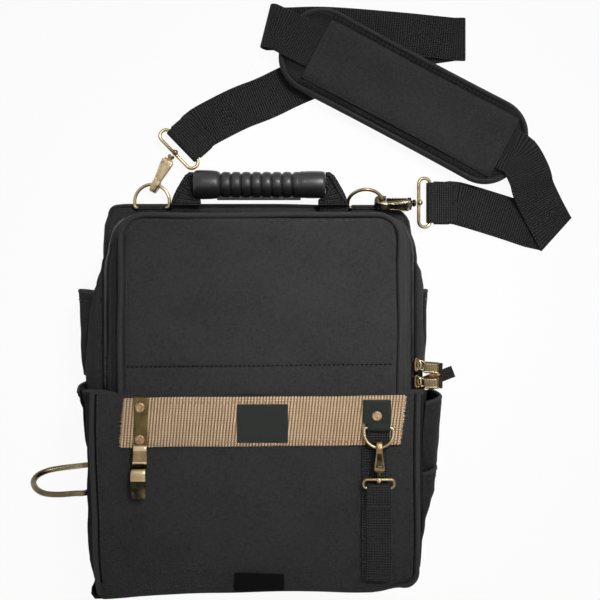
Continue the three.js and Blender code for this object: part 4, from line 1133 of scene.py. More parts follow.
def front_band():
    x0, x1, y0, y1 = BAND
    form = Form()
    columns = round((x1 - x0) / BAND_PITCH) * 4
    rows = []
    for y in [y0, y0 + 0.5] + spaced(y0 + 2, y1 - 2, 10) + [y1 - 0.5, y1]:
        row = []
        for x in spaced(x0, x1, columns):
            bump = abs(math.sin(math.pi * (x - x0) / BAND_PITCH))
            shift = ripple(x, 0, 0, 60, 0.7, 4)
            scallop = (0.75 * bump - 0.4) if y > y1 - 1 else (0.4 - 0.75 * bump) if y < y0 + 1 else 0
            row.append((x + band_lean(x, y), y + shift + scallop + band_rise(x)))
        rows.append(row)

    def top(x, y):
        y -= band_rise(x)
        x -= band_lean(x, y)
        near = min(y - y0, y1 - y)
        bump = abs(math.sin(math.pi * (x - x0) / BAND_PITCH))
        dent = 0.35 * math.exp(-((y - (y1 - 4.3)) / 0.8) ** 2) + 0.2 * math.exp(-((y - (y0 + 3.2)) / 0.8) ** 2)
        return 101.45 + 0.5 * edge_mass(max(near, 0.0), 2.0) + 0.35 * bump - dent

    slab(form, rows, top, lambda x, y: 100.35, coords=lambda x, y: (y, x - band_lean(x, y) - x0))
    random = np.random.default_rng(5)
    for edge, way in ((x0, -1), (x1, 1)):
        for y in spaced(y0 + 0.8, y1 - 0.8, 46):
            reach = 0.6 + 1.9 * random.random()
            start = Vector((edge + band_lean(edge, y) - way * 0.8, y + band_rise(edge), 101.2 + 0.5 * random.random()))
            end = start + Vector((way * (reach + 0.8), 1.4 * (random.random() - 0.5), -0.5 * random.random()))
            tube(form, [start, start.lerp(end, 0.5) + UP * 0.25, end], [0.34, 0.3, 0.12], 6)
    put("tan_band", form, TAN, "bag", "tan_webbing", "webbing_band")

    seam = Form()
    for y in (y1 - 4.3, y0 + 3.2):
        line = [(x, y + ripple(x, 0, 0, 60, 0.7, 4) + band_rise(x), 102.05) for x in spaced(x0 + 4, x1 - 4, 60)]
        stitches(seam, line, 3.1, 1.8, 0.3)
    for x in (x0 + 5, x1 - 5):
        line = [(x + band_lean(x, y), y + band_rise(x), 102.1) for y in spaced(y0 + 4, y1 - 5, 8)]
        stitches(seam, line, 3.1, 1.6, 0.3)
    put("band_stitching", seam, TAN_THREAD, "bag", "tan_webbing")


def label():
    form = Form()
    cx, cy, w, h = 6, -25.45, 40, 30
    rows = rounded_rows(cx - w / 2, cx + w / 2, cy - h / 2, cy + h / 2, 0.6, 0.6, 26, 20, 3)

    def top(x, y):
        near = min(w / 2 - abs(x - cx), h / 2 - abs(y - cy))
        hem = 0.18 * math.exp(-((near - 2.2) / 0.35) ** 2)
        return 103.0 + 0.55 * edge_mass(max(near, 0), 1.0) - hem + ripple(x, y, 0, 12, 0.12, 2)

    slab(form, rows, top, lambda x, y: 102.55)
    put("woven_patch", form, "patch", "bag", "patch", "label_patch")
    seam = Form()
    box_stitches(seam, cx - w / 2 + 1.4, cx + w / 2 - 1.4, cy - h / 2 + 1.4, cy + h / 2 - 1.4, 103.55, 1.7, 0.9, 0.18)
    put("patch_stitching", seam, "thread", "bag", "patch")


def base_tab():
    form = Form()
    rows = panel_rows(lambda y: -16 + 0.03 * (y + 150), lambda y: 23 - 0.02 * (y + 150),
                      lambda x: lower_base(x) + 3.0, lambda x: -143.6 - 0.03 * x, (0.8, 0.8, 0.5, 0.5), 30, 14, 3)

    def top(x, y):
        edge = max(min(x + 16, 23 - x, y - lower_base(x) - 2.8, -143.6 - y), 0)
        roll = 5.5 * (1 - edge_mass(max(y - lower_base(x) + 0.2, 0), 6.5))
        return 100.7 + 0.9 * edge_mass(edge, 1.2) + ripple(x, y, 0, 4, 0.3, 2) + ripple(x, y, 0, 9, 0.4, 6) - roll

    slab(form, rows, top, lambda x, y: top(x, y) - 1.6)
    put("base_tab_cloth", form, "velvet", "bag", "webbing", "base_tab")


def lathe(form, profile, matrix, sides=28, look=0):
    """A turned shape: profile gives (radius, height) from the axis at the base to the axis at the top."""
    start = len(form.points)
    turns = [2 * math.pi * k / sides for k in range(sides + 1)]
    rows = [[(r * math.cos(a), r * math.sin(a), h) for a in turns[:-1]] for r, h in profile]
    form.grid(rows, [3 * a for a in turns], lengths([(r, h, 0) for r, h in profile]), look, close_u=True)
    form.moved(matrix, start)


def rivet(name, x, y, z, radius, node):
    form = Form()
    profile = [(0.001, 0), (radius, 0), (radius, 0.35), (radius - 0.15, 0.7), (radius * 0.8, 0.98),
               (radius * 0.64, 1.02), (radius * 0.56, 0.82), (radius * 0.46, 0.8), (radius * 0.3, 0.92), (0.001, 0.98)]
    lathe(form, profile, Matrix.Translation((x, y, z)))
    put(name, form, RIVET_BRASS, "bag", "dark_brass", node, sharp=50)


def tape_clip():
    profile = [(-5.0, 103.4), (-24, 103.4), (-40.6, 103.4), (-42.0, 104.4), (-43.0, 107.0), (-44.6, 107.9),
               (-50, 107.7), (-54.6, 107.9), (-56.2, 107.0), (-57.8, 104.4), (-59.4, 104.2), (-60.4, 106.6),
               (-61.6, 109.8), (-63.2, 110.9), (-66.0, 111.0), (-68.6, 110.3), (-72.5, 109.4), (-79, 107.6),
               (-83.4, 106.0)]
    # Where each stretch of the clip ends, and the number of its brass: painted dark reflection on the flat strip,
    # painted highlight on the bends and the ridge, brown brass on the plateau, painted shadow in the valley and at the
    # end
    zones = ((-41.0, 0), (-45.4, 1), (-54.0, 2), (-56.4, 1), (-60.8, 3), (-69.4, 1), (-999, 3))
    path = smooth([(-90, y, z) for y, z in profile], 0.9)
    stations, looks = [], []
    for i, c in enumerate(path):
        way = way_at(path, i)
        width = 5.3 + 0.4 * step(-c.y, 44, 58) + 0.2 * step(-c.y, 60, 70) - 0.3 * step(-c.y, 76, 84)
        shift = 0.7 - 1.2 * step(-c.y, 50, 66)
        stations.append((c + Vector((shift, 0, 0)), Vector((width, 0, 0)), Vector((0, way.z, -way.y))))
        looks.append(next(number for low, number in zones if c.y > low))
    form = Form()
    band(form, stations, 1.5, columns=4, edge=0.5, look=looks)
    painted_light_brasses = [DARK_REFLECTION_BRASS, PALE_BRASS_AND_HIGHLIGHT, BROWN_BRASS, SHADOW_BRASS]
    put("tape_clip_metal", form, painted_light_brasses, "bag", "dark_brass", "tape_clip", sharp=60)


def outline(*arcs):
    """Points (x, y, 0) round arcs, each given by its centre, radius, first angle, sweep and number of steps."""
    return [(x, y, 0) for values in arcs for (x, y), n in rounded_corner(*values)]


def d_outline(half, leg, corner):
    curves = outline((half - corner, corner, corner, -90, 90, 6), (0, leg, half, 4.5, 175.5, 39),
                     (corner - half, corner, corner, 180, 90, 6))
    return curves + [(x, 0, 0) for x in spaced(corner - half, half - corner, 8)[1:-1]]


def loop_outline(x0, x1, half, radius):
    return outline((x1 - radius, radius - half, radius, -90, 90, 8), (x1 - radius, half - radius, radius, 0, 90, 8),
                   (x0 + radius, half - radius, radius, 90, 90, 8), (x0 + radius, radius - half, radius, 180, 90, 8))


def ring(name, outline, radius, matrix, body, node, look):
    form = Form()
    tube(form, outline, radius, 16, True, start_normal=UP)
    form.moved(matrix)
    return put(name, form, look, body, "brass", node, sharp=60)


def turned(axis, angle):
    return Matrix.Rotation(math.radians(angle), 4, axis)


# Hooks and eyes

# A hook's measures, from its swivel; the throat bears on the ring at contact_x
HOOK = {"bar": 3.8, "throat": 4.8, "tip": 4.6, "boss": 7, "throat_y": 6.2, "throat_x": 30.8, "contact_x": 29.6}


def frame_matrix(x, y, z, origin):
    return Matrix(((x.x, y.x, z.x, origin.x), (x.y, y.y, z.y, origin.y), (x.z, y.z, z.z, origin.z), (0, 0, 0, 1)))


def hook(name, contact, along, across, scale, bodies, nodes, looks):
    """A snap hook: a panelled back that widens to the swivel, a collared nose and a sprung leaf for its gate."""
    h = HOOK
    basis = frame_matrix(along, across, along.cross(across), Vector())
    origin = contact - basis @ Vector((h["contact_x"] * scale, h["throat_y"] * scale, 0))
    place = frame_matrix(along, across, along.cross(across), origin) @ Matrix.Scale(scale, 4)
    form = Form()
    middle = h["throat"] / 2 + h["bar"] / 2
    back_y = h["throat_y"] + middle
    face_y = back_y + h["bar"] / 2
    spine = [(x, back_y, table(x, ((6, 5.2), (7.2, 5.5), (28, 3.3)))) for x in (6.0, 6.4, 7.2, 9, 12, 16, 20, 24, 27)]
    nose_x, low_y = h["throat_x"], h["throat_y"] - middle
    for k in range(1, 13):
        angle = math.pi / 2 - math.pi * k / 12
        spine.append((nose_x + middle * math.cos(angle), h["throat_y"] + middle * math.sin(angle), 3.3 - 0.02 * k))
    spine += [(nose_x - 1.5, low_y, 3.0), (nose_x - 3.2, low_y + 0.1, 2.8), (nose_x - h["tip"], low_y + 0.3, 2.6)]
    points = [Vector((x, y, 0)) for x, y, w in spine]
    section, collar = ([squared(2 * math.pi * (k + 0.5) / 20, power) for k in range(20)] for power in (0.38, 0.45))
    rows = []
    for i, c in enumerate(points):
        way = way_at(points, i)
        out = Vector((-way.y, way.x, 0))
        share = i / (len(points) - 1)
        wide = spine[i][2] - (0.5 if i == 0 else 0)
        thick = h["bar"] / 2 * (1 - 0.12 * step(share, 0.85, 1)) - (0.4 if i == 0 else 0)
        rows.append([c + out * (thick * py) + Vector((0, 0, wide * px)) for px, py in section])
    form.skin(rows, [k * 1.2 for k in range(21)], lengths(points))

    # A broad bright collar where the back turns into the nose
    rows = []
    for x, grow in ((26.4, -0.2), (26.7, 0.35), (28.6, 0.5), (31.2, 0.5), (32.2, 0.1), (32.6, -0.5)):
        y = back_y - 0.5 * step(x, 30, 33)
        rows.append([(x, y + (h["bar"] / 2 + (grow if py > 0 else -0.3)) * py, (3.1 + 0.7 * grow) * px)
                     for px, py in collar])
    form.skin(rows, [k * 1.2 for k in range(21)], [0, 1, 3, 5, 6, 7], 1)

    # The neck and the barrel that turn on the swivel
    barrel = [(0.001, 0.2), (2.3, 0.2), (3.0, 0.6), (3.2, 2.0), (2.8, 2.8), (2.2, 3.2), (2.2, 3.8), (2.9, 4.2),
              (3.4, 5.0), (3.4, 6.4), (2.9, 7.2), (0.001, 7.4)]
    lathe(form, barrel, Matrix.Translation((0, h["throat_y"] + 0.9, 0)) @ turned("Y", 90), 20, 2)
    low = h["throat_y"] - 3
    high = back_y + 1.9
    block = ((high - 0.2, 3.6), (high, 0), (high - 0.2, -3.6), (low + 0.4, -3.3), (low, 0), (low + 0.4, 3.3))
    form.skin([[(x, y, z) for y, z in block] for x in (4.4, 7.4)], list(range(7)), [0, 3], 2)

    # A sunk panel with a raised rim on the back
    rim = [(9.0, 4.0), (15, 3.5), (20, 2.95), (24.6, 2.5)]
    panel = [[(x, face_y + 0.06, w * t) for t in spaced(-1, 1, 6)] for x, w in rim]
    lower = [[(x, face_y - 0.3, w * t) for t in spaced(-1, 1, 6)] for x, w in rim]
    form.skin([a + b[::-1] for a, b in zip(panel, lower)], list(range(15)), [0, 5, 10, 15], 2)
    loop = [(x, face_y + 0.1, w) for x, w in rim] + [(x, face_y + 0.1, -w) for x, w in rim[::-1]]
    tube(form, smooth(loop, 1.2, True), 0.5, 8, True)
    tube(form, [(10.6, face_y + 0.1, -1.6), (10.6, face_y + 0.1, 1.6)], 0.35, 6)
    form.moved(place)
    put(name, form, looks, bodies[0], "brass", nodes[0], sharp=50)

    leaf = Form()
    y = h["throat_y"] - h["throat"] / 2 - 0.8
    x1 = h["throat_x"] - h["tip"] - 0.4
    stations = []
    for k in range(11):
        share = k / 10
        x = h["boss"] + 0.6 + (x1 - h["boss"] - 0.6) * share
        stations.append((Vector((x, y, 0)), Vector((0, 0, 2.4 - 0.3 * share)), Vector((0, 1, 0))))
    band(leaf, stations, 0.8, columns=4, edge=0.4)
    tube(leaf, [(13, y - 0.3, 0), (14.5, y - 0.5, 0), (16, y - 0.3, 0)], [0.5, 0.8, 0.5], 10)
    leaf.moved(place)
    put(name.replace("hook", "gate"), leaf, OLD_BRASS, bodies[1], "dark_brass", nodes[1], sharp=50)


def eye(name, swivel, heading, bar_z, depth, half, corner, wire, stem, body, node):
    """A wire eye with a ball collar at its swivel; returns the middle of its far bar."""
    drop = math.asin((swivel.z - bar_z) / depth)
    matrix = Matrix.Translation(swivel) @ Matrix.Rotation(heading, 4, "Z") @ Matrix.Rotation(drop, 4, "Y")
    form = Form()
    tube(form, loop_outline(2.8, depth, half, corner), wire, 16, True, start_normal=UP)
    ball = [(stem * 1.72 * math.sin(a), 3.6 - 2.2 * math.cos(a)) for a in arc(30, 135, 9)]
    collar = [(0.001, 1.25), (stem * 0.8, 1.3), *ball, (stem * 0.8, 6.0), (0.001, 6.4)]
    lathe(form, collar, turned("Y", 90), 20)
    form.moved(matrix)
    put(name, form, BRASS, body, "brass", node, sharp=60)
    return matrix @ Vector((depth, 0, 0))


# Straps

STRAP_HALF, STRAP = 19, 1.7
L1 = 0.3 + STRAP / 2
L2 = L1 + STRAP + 0.4
INSIDE_Z = 4.6 + 7.6 + 1.2
PAD_CENTRE, PAD_ANGLE = Vector((126.3, 250.5, 0)), -28


def pad_point(distance):
    """A place on the strap's way through the pad."""
    turn = math.radians(PAD_ANGLE)
    return (PAD_CENTRE.x + distance * math.cos(turn), PAD_CENTRE.y + distance * math.sin(turn), INSIDE_Z)


def course(points, up, half=STRAP_HALF, gap=4.0):
    """Ribbon stations along points, cut square across: face up where up is 1, face down where it is -1."""
    path = smooth(points, gap)
    stations = []
    for i, c in enumerate(path):
        way = path[min(i + 1, len(path) - 1)] - path[max(i - 1, 0)]
        side = (UP * up).cross(Vector((way.x, way.y, 0)).normalized())
        normal = way.normalized().cross(side)
        normal = normal if normal.dot(UP * up) > 0 else -normal
        stations.append((c, side * half, normal))
    return stations


def fold(x, y, crease, heading, from_z, to_z, up, steps=12):
    """Ribbon stations where the strap, on its way in, turns over a crease to another height."""
    k = Vector((math.cos(math.radians(crease)), math.sin(math.radians(crease)), 0))
    d = Vector((math.cos(math.radians(heading)), math.sin(math.radians(heading)), 0))
    left = (UP * up).cross(d)
    w = k * (STRAP_HALF / k.dot(left))
    out = (d - k * d.dot(k)).normalized()
    rise = (to_z - from_z) / 2
    stations = []
    for i in range(steps + 1):
        turn = math.pi * i / steps
        c = Vector((x, y, from_z + rise * (1 - math.cos(turn)))) + out * (abs(rise) * math.sin(turn))
        n = UP * (up * math.cos(turn)) - out * (up * math.copysign(1, rise) * math.sin(turn))
        stations.append((c, w, n))
    return stations


def from_bar(bar, heading):
    """The first points of a strap from an eye's bar down to the floor."""
    def at(distance, z):
        return (bar.x + math.cos(heading) * distance, bar.y + math.sin(heading) * distance, z)

    return [at(3.2, bar.z + 0.6), at(9, L1 + 2.2), at(15, L1 + 1), at(24, L1 + 0.05)]


def ribbon(name, stations, thickness, columns, edge, body, node):
    """A webbing that stands for a node, and its length."""
    form = Form()
    total = band(form, stations, thickness, columns=columns, edge=edge)
    return put(name, form, "webbing", body, "webbing", node), total


def sewn_end(name, bar, heading, body):
    """The strap's turn round an eye's bar and its short end on top, with the box of stitches through both."""
    d = Vector((math.cos(heading), math.sin(heading), 0))
    side = UP.cross(d)
    half, thick = STRAP_HALF - 1.2, 1.6

    def on_top(distance, across, z):
        c = bar + d * distance + side * across
        return Vector((c.x, c.y, z))

    form = Form()
    stations = round_bar(bar, 1.9 + thick / 2, side * half, arc(-60, -240, 14), d)
    for distance, z in ((4, bar.z + 1.5), (9, 5.0), (15, 4.3), (21, 3.9), (24, 3.7)):
        stations.append((on_top(distance, 0, z), side * (half + 0.4), UP))
    band(form, stations, thick, columns=6, edge=0.9)
    put(f"strap_{name}_turn", form, "webbing", body, "webbing")

    thread = Form()
    box = [on_top(distance, across, 5.0) for distance, across in ((10, -15), (10, 15), (21, 15), (21, -15), (10, -15))]
    for ends in zip(box, box[1:]):
        stitches(thread, ends, 2.4, 1.1, 0.26)
    put(f"strap_{name}_stitching", thread, "thread", body, "webbing")


def last_run(share):
    """A place on the strap's straight run down to its lower fold."""
    return (241 + share * 20, 168 - share * 37.5, L2)


def shoulder_strap(left_bar, left_heading, right_bar, right_heading):
    stations = course(
        [*from_bar(left_bar, left_heading), (-20, 240.5, L1), (4.4, 250.2, L1), (34.5, 264.3, L1), (80, 282, L1),
         (130, 295.5, L1), (170, 302, L1)], 1)
    stations += fold(180, 302, 90, 0, L1, L2, 1)
    stations += course([(170, 302, L2), (120, 307, L2), (60, 311.5, L2), (22.6, 311, L2)], -1)
    stations += fold(10.6, 311, 76, 180, L2, INSIDE_Z, -1, 16)
    stations += course([pad_point(-120), pad_point(-84.4), pad_point(90), pad_point(95.7)], 1, gap=6)
    piece, total = ribbon("strap_ribbon", stations, STRAP, 8, 0.9, "strap", "strap_webbing")
    sewn_end("left", left_bar, left_heading, "strap")

    run = Form()
    bend = [pad_point(96), pad_point(104), pad_point(114), (236, 180, INSIDE_Z), (241, 168, 7), last_run(0.48)]
    band(run, course(bend, 1, gap=3), STRAP, columns=8, edge=0.9)
    piece = made("strap_run_ribbon", run, "webbing")
    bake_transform(piece)
    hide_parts("strap_right_run")

    heading = math.degrees(math.atan2(130.5 - 168, 261 - 241))
    stations = course([last_run(0.481), last_run(0.7)], 1, gap=2)
    stations += fold(261, 130.5, 48, heading, L2, L1, 1)
    stations += course([(240, 136.5, L1), (211.5, 146, L1), *from_bar(right_bar, right_heading)[::-1]], -1)
    piece, total = ribbon("strap_tail_ribbon", stations, STRAP, 8, 0.9, "bag", "strap_right_end")
    sewn_end("right", right_bar, right_heading, "bag")


CLOTH_FRAMES = 20


def inflated(piece, cap, pressure, voxel):
    """Swells a closed cushion with cloth pressure, no point moving further than the cap (millimetres)."""
    bpy.context.view_layer.objects.active = piece
    remesh = piece.modifiers.new("remesh", "REMESH")
    remesh.mode = "VOXEL"
    remesh.voxel_size = voxel * MM
    bake(piece)
    before = [v.co.copy() for v in piece.data.vertices]
    cloth = piece.modifiers.new("cloth", "CLOTH")
    cloth.settings.use_pressure = True
    cloth.settings.uniform_pressure_force = pressure
    cloth.settings.effector_weights.gravity = 0
    cloth.settings.tension_stiffness = 15
    cloth.settings.compression_stiffness = 15
    cloth.collision_settings.use_collision = False
    for number in range(1, CLOTH_FRAMES + 1):
        bpy.context.scene.frame_set(number)
    bake(piece)
    bpy.context.scene.frame_set(1)
    for vertex, start in zip(piece.data.vertices, before):
        move = vertex.co - start
        if move.length > cap * MM:
            vertex.co = start + move * (cap * MM / move.length)
    detail = piece.modifiers.new("detail", "SUBSURF")
    detail.levels = 1
    bake(piece)


def bake(piece):
    """Applies the piece's modifiers."""
    depsgraph = bpy.context.evaluated_depsgraph_get()
    mesh = bpy.data.meshes.new_from_object(piece.evaluated_get(depsgraph))
    piece.modifiers.clear()
    piece.data = mesh


def flat_coords(piece, matrix):
    """Texture coordinates in millimetres from the piece's own plan, across and along."""
    mesh = piece.data
    layer = mesh.uv_layers.get("flat") or mesh.uv_layers.new(name="flat")
    inverse = matrix.inverted()
    for loop in mesh.loops:
        p = inverse @ (mesh.vertices[loop.vertex_index].co / MM)
        layer.data[loop.index].uv = (p.y, p.x + p.z)


def pad_rows(x0, x1, half, corner, columns, rows, waist):
    """Rows of (x, y) over a plan with rounded corners that is drawn in at its waist."""
    result = []
    for i in range(columns + 1):
        share = i / columns
        x = x0 + (x1 - x0) * (0.5 - 0.5 * math.cos(math.pi * share))
        end = min(x - x0, x1 - x)
        width = half - corner + math.sqrt(max(0.0, corner ** 2 - (corner - end) ** 2)) if end < corner else half
        width -= waist * math.sin(math.pi * share) ** 2
        result.append([(x, width * (-1 + 2 * k / rows)) for k in range(rows + 1)])
    return result


def shoulder_pad():
    place = Matrix.Translation(PAD_CENTRE) @ turned("Z", PAD_ANGLE)
    inverse = place.inverted()
    half, width, border = 115, 37, 8.0
    x0, x1 = -85.5, 98.0

    def edge(x, y):
        return min(half - abs(x), width - abs(y))

    def side_rise(y):
        """The border stands higher along the two long sides than at the ends, where the strap crosses it."""
        return 2.0 * step(abs(y), 18, 27)

    form = Form()
    rows = pad_rows(-half, half, width, 31, 50, 20, 1.2)
    slab(form, rows, lambda x, y: 8.0 + (3.4 + side_rise(y)) * edge_mass(max(edge(x, y), 0), 6),
         lambda x, y: 8.0 - 3.0 * edge_mass(max(edge(x, y), 0), 12))
    form.moved(place)
    piece = made("pad_cushion", form, "shade")
    inflated(piece, 1.2, 3, 4.5)
    for vertex in piece.data.vertices:
        p = inverse @ (vertex.co / MM)
        p.x = min(max(p.x * 1.01, -half - 0.4), half + 0.4)
        p.y = min(max(p.y * 1.035, -width - 0.8), width + 0.8)
        inner = edge(p.x, p.y)
        if p.z > 8:
            sunk = 2.6 * step(inner, border - 1.6, border + 0.6) * step(abs(p.y), 19, 23)
            groove = 0.5 * math.exp(-((inner - 3.4) / 0.8) ** 2)
            limit = 12.0 + side_rise(p.y) * 0.9
            p.z = min(p.z - sunk - groove, limit)
        p.z = max(p.z, 4.7)
        vertex.co = (place @ p) * MM
    flat_coords(piece, place)
    piece.data.polygons.foreach_set("use_smooth", [True] * len(piece.data.polygons))
    settle(piece, "pad", "fabric", "shoulder_pad")

    cover = Form()
    reach = width - border
    rows = pad_rows(x0, x1, reach, 3, 46, 20, 0.9)

    def over(x, y):
        side = reach - abs(y)
        end = min(x - x0, x1 - x)
        rise = 3.9 * edge_mass(max(min(side, 11), 0), 11)
        lip = 1.0 * (1 - edge_mass(max(min(end, 5), 0), 5))
        hem = 0.35 * math.exp(-((min(side, end) - 3.6) / 0.7) ** 2)
        return 12.9 + rise - lip * 0.6 - hem + ripple(x, y, 0, 34, 0.8, 5) + ripple(x, y, 0, 14, 0.25, 5)

    def beneath(x, y):
        arc = 1.6 * (1 - step(abs(y), 17, 24))
        return min(over(x, y) - 1.3, 12.2 + arc)

    slab(cover, rows, over, beneath)
    cover.moved(place)
    piece = put("pad_cover", cover, "fabric", "pad", "fabric")

    trim = Form()
    loop = [r[-1] for r in pad_rows(-half + 0.8, half - 0.8, width - 0.3, 31, 60, 2, 1.2)]
    loop += [(x, -y) for x, y in loop[::-1]]
    path = [(x, y, 8.6 - step(abs(x), 96, 112) * (1 - step(abs(y), 20, 28))) for x, y in thinned(loop, 0.8)]
    tube(trim, path, 2.7, 12, True, start_normal=UP, flat=1.35)
    for x in (x0, x1):
        tube(trim, [(x, y, over(x, y) - 0.1) for y in spaced(-reach + 1, reach - 1, 26)], 1.1, 8, start_normal=UP)
    trim.moved(place)
    put("pad_binding", trim, "binding", "pad", "binding")

    seam = Form()
    for side in (-1, 1):
        def away(x, inset):
            return side * (width - inset - 1.0 * math.sin(math.pi * (x + half) / (2 * half)) ** 2)

        line = [(x, away(x, border + 3.6), over(x, away(x, border + 3.6)) + 0.15) for x in spaced(x0 + 4, x1 - 4, 60)]
        stitches(seam, line, 2.8, 1.3, 0.26)
        stitches(seam, [(x, away(x, 3.6), 12.6) for x in spaced(-88, 88, 60)], 2.6, 1.3, 0.28, look=1)
        stitches(seam, [(x, away(x, 5.6), 13.2) for x in spaced(-88, 88, 60)], 2.6, 1.3, 0.28, look=1)
    for x in (x0 + 4, x1 - 4):
        stitches(seam, [(x, y, over(x, y) + 0.15) for y in spaced(-reach + 5, reach - 5, 20)], 2.8, 1.3, 0.28)
    seam.moved(place)
    put("pad_stitching", seam, ["thread", "sunk"], "pad", "fabric")


# Handle

def handle():
    half, grip_y = 57.5, 172.2
    profile = [(4.2, -half), (9.6, -half), (11.4, -half + 0.6), (12.6, -half + 2.4), (12.8, -half + 8)]
    profile += [(12.6, -half + 15), (12.3, -half + 18.5), (12.0, -half + 20.5)]
    ridges = 8
    start, pitch = -half + 22, (2 * half - 44) / ridges
    groove = ((0.06, 11.0), (0.14, 10.0), (0.22, 9.45), (0.3, 10.0), (0.4, 10.95), (0.55, 11.25), (0.75, 11.3),
              (0.92, 11.1))
    for k in range(ridges):
        profile += [(radius, start + k * pitch + share * pitch) for share, radius in groove]
    profile += [(11.8, half - 20.5), (11.6, half - 18.5), (11.9, half - 15), (11.9, half - 8), (11.7, half - 2.4),
                (10.9, half - 0.6), (9.4, half), (4.2, half), (4.2, -half)]
    form = Form()
    lathe(form, profile, Matrix.Translation((0, grip_y, 12.5)) @ turned("Y", 90), 40)
    band(form, lay([(x, grip_y - 11.2, 12.5) for x in spaced(-37, 36, 12)], (0, 2.3, 0)), 2.4, columns=4, edge=0.8)
    tube(form, [(x, grip_y - 12.7, 13.6) for x in spaced(-36, 35, 12)], 0.6, 8)
    put("rubber_grip", form, "grip", "handle", "grip", "handle_grip", sharp=50)

    web = Form()
    edges = [((57.8, 161), (57.8, 183.2)), ((57.6, 160.8), (61.4, 183.4)), ((55.6, 160.4), (65.4, 180.4)),
             ((53.2, 160.0), (68.8, 175)), ((51.6, 159.4), (72.8, 168)), ((51.2, 157.6), (75.8, 161.6)),
             ((51.2, 155.4), (77.4, 156.4)), ((51.2, 153.4), (77.6, 153.6))]
    for side in (-1, 1):
        pairs = [(Vector((side * a[0], a[1], 12.5)), Vector((side * b[0], b[1], 12.5))) for a, b in edges]
        stations = []
        for i in range(len(pairs) - 1):
            for k in range(5):
                t = k / 5
                a, b = pairs[i][0].lerp(pairs[i + 1][0], t), pairs[i][1].lerp(pairs[i + 1][1], t)
                stations.append(((a + b) / 2 + UP * (0.4 * math.sin(7 * (i + t))), (b - a) / 2, UP))
        band(web, stations, 3.6, columns=10, edge=1.8)
        for top in ([(58.6, 180.4, 14.4), (62.4, 179, 14.9), (66.4, 171, 14.9), (72.5, 161, 14.6), (76.0, 156.0, 14.2)],
                    [(58.8, 170.5, 15.2), (60.6, 168, 15.3), (59.0, 162, 14.8), (56.0, 158.0, 14.5)]):
            tube(web, smooth([(side * x, y, z) for x, y, z in top], 2), 1.1, 8)
    tube(web, [(-60, grip_y, 12.5), (0, grip_y, 12.5), (60, grip_y, 12.5)], 3.0, 10)
    put("handle_web", web, "webbing", "handle", "webbing", "handle_webbing")

    for side, node in ((-1, "handle_anchor_left"), (1, "handle_anchor_right")):
        form = Form()
        cx = side * 65
        lines = [(141.4, 5.4), (144, 5.9), (148, 6.6), (151, 7.6), (153.2, 8.8), (154.8, 9.4), (156.2, 9.6)]
        band(form, lay([(cx, y, z) for y, z in lines], (12.8, 0, 0)), 1.9, columns=6, edge=0.9)
        band(form, lay([(cx, y, 4.9) for y in (142, 148, 154.6, 156)], (12.6, 0, 0)), 1.1, columns=4)
        for x in (cx - 8, cx, cx + 8):
            tube(form, [(x, 148, 6.0), (x, 152.5, 6.8), (x, 155.4, 7.6)], [2.0, 2.2, 1.8], 8)
        for y, z in ((143.5, 6.9), (146.5, 7.4)):
            stitches(form, [(cx - 12, y, z), (cx + 12, y, z)], 2.3, 1.2, 0.28, look=1)
        name = "anchor_web_left" if side < 0 else "anchor_web_right"
        put(name, form, ["webbing", "thread"], "bag", "webbing", node)


# The top rings: where their axis lies, and the half width and straight length of the ring
RING_Y, RING_Z, RING_HALF, RING_LEG = 152.5, 6.9, 15.25, 5.35
LEFT_RING_X, RIGHT_RING_X, RIGHT_RING_TILT = -94.8, 92.5, 45
# The strap's eyes: height of the bar, length, half width, corner, wire, stem
STRAP_EYE = (4.3, 13.6, 21.5, 5, 1.5, 1.8)


def top_rings():
    for x, side, tilt in ((LEFT_RING_X, "left", 0), (RIGHT_RING_X, "right", RIGHT_RING_TILT)):
        axis = Vector((x, RING_Y, RING_Z))
        matrix = Matrix.Translation(axis) @ turned("X", tilt)
        shape = d_outline(RING_HALF, RING_LEG, 2.5)
        ring("ring_" + side, shape, 1.5, matrix, side + "_ring", "top_ring_" + side, BRASS)
        form = Form()
        w = Vector((11.9, 0, 0))
        stations = lay([(x, y, z) for y, z in ((141.8, 4.9), (146, 4.9), (149.8, 5.2))], w, -UP)
        stations += round_bar(axis, 2.2, w, arc(-150, 300, 16), Vector((0, 1, 0)))
        stations += lay([(x, y, z) for y, z in ((149.6, 8.3), (146, 7.3), (141.8, 6.9))], w)
        band(form, stations, 0.9, columns=6, edge=0.5)
        for y, z in ((143.6, 7.7), (147.6, 8.2)):
            stitches(form, [(x - 10.5, y, z), (x + 10.5, y, z)], 2.3, 1.2, 0.26, look=1)
        put("ring_loop_" + side, form, ["webbing", "thread"], "bag", "webbing", "top_ring_tab_" + side)


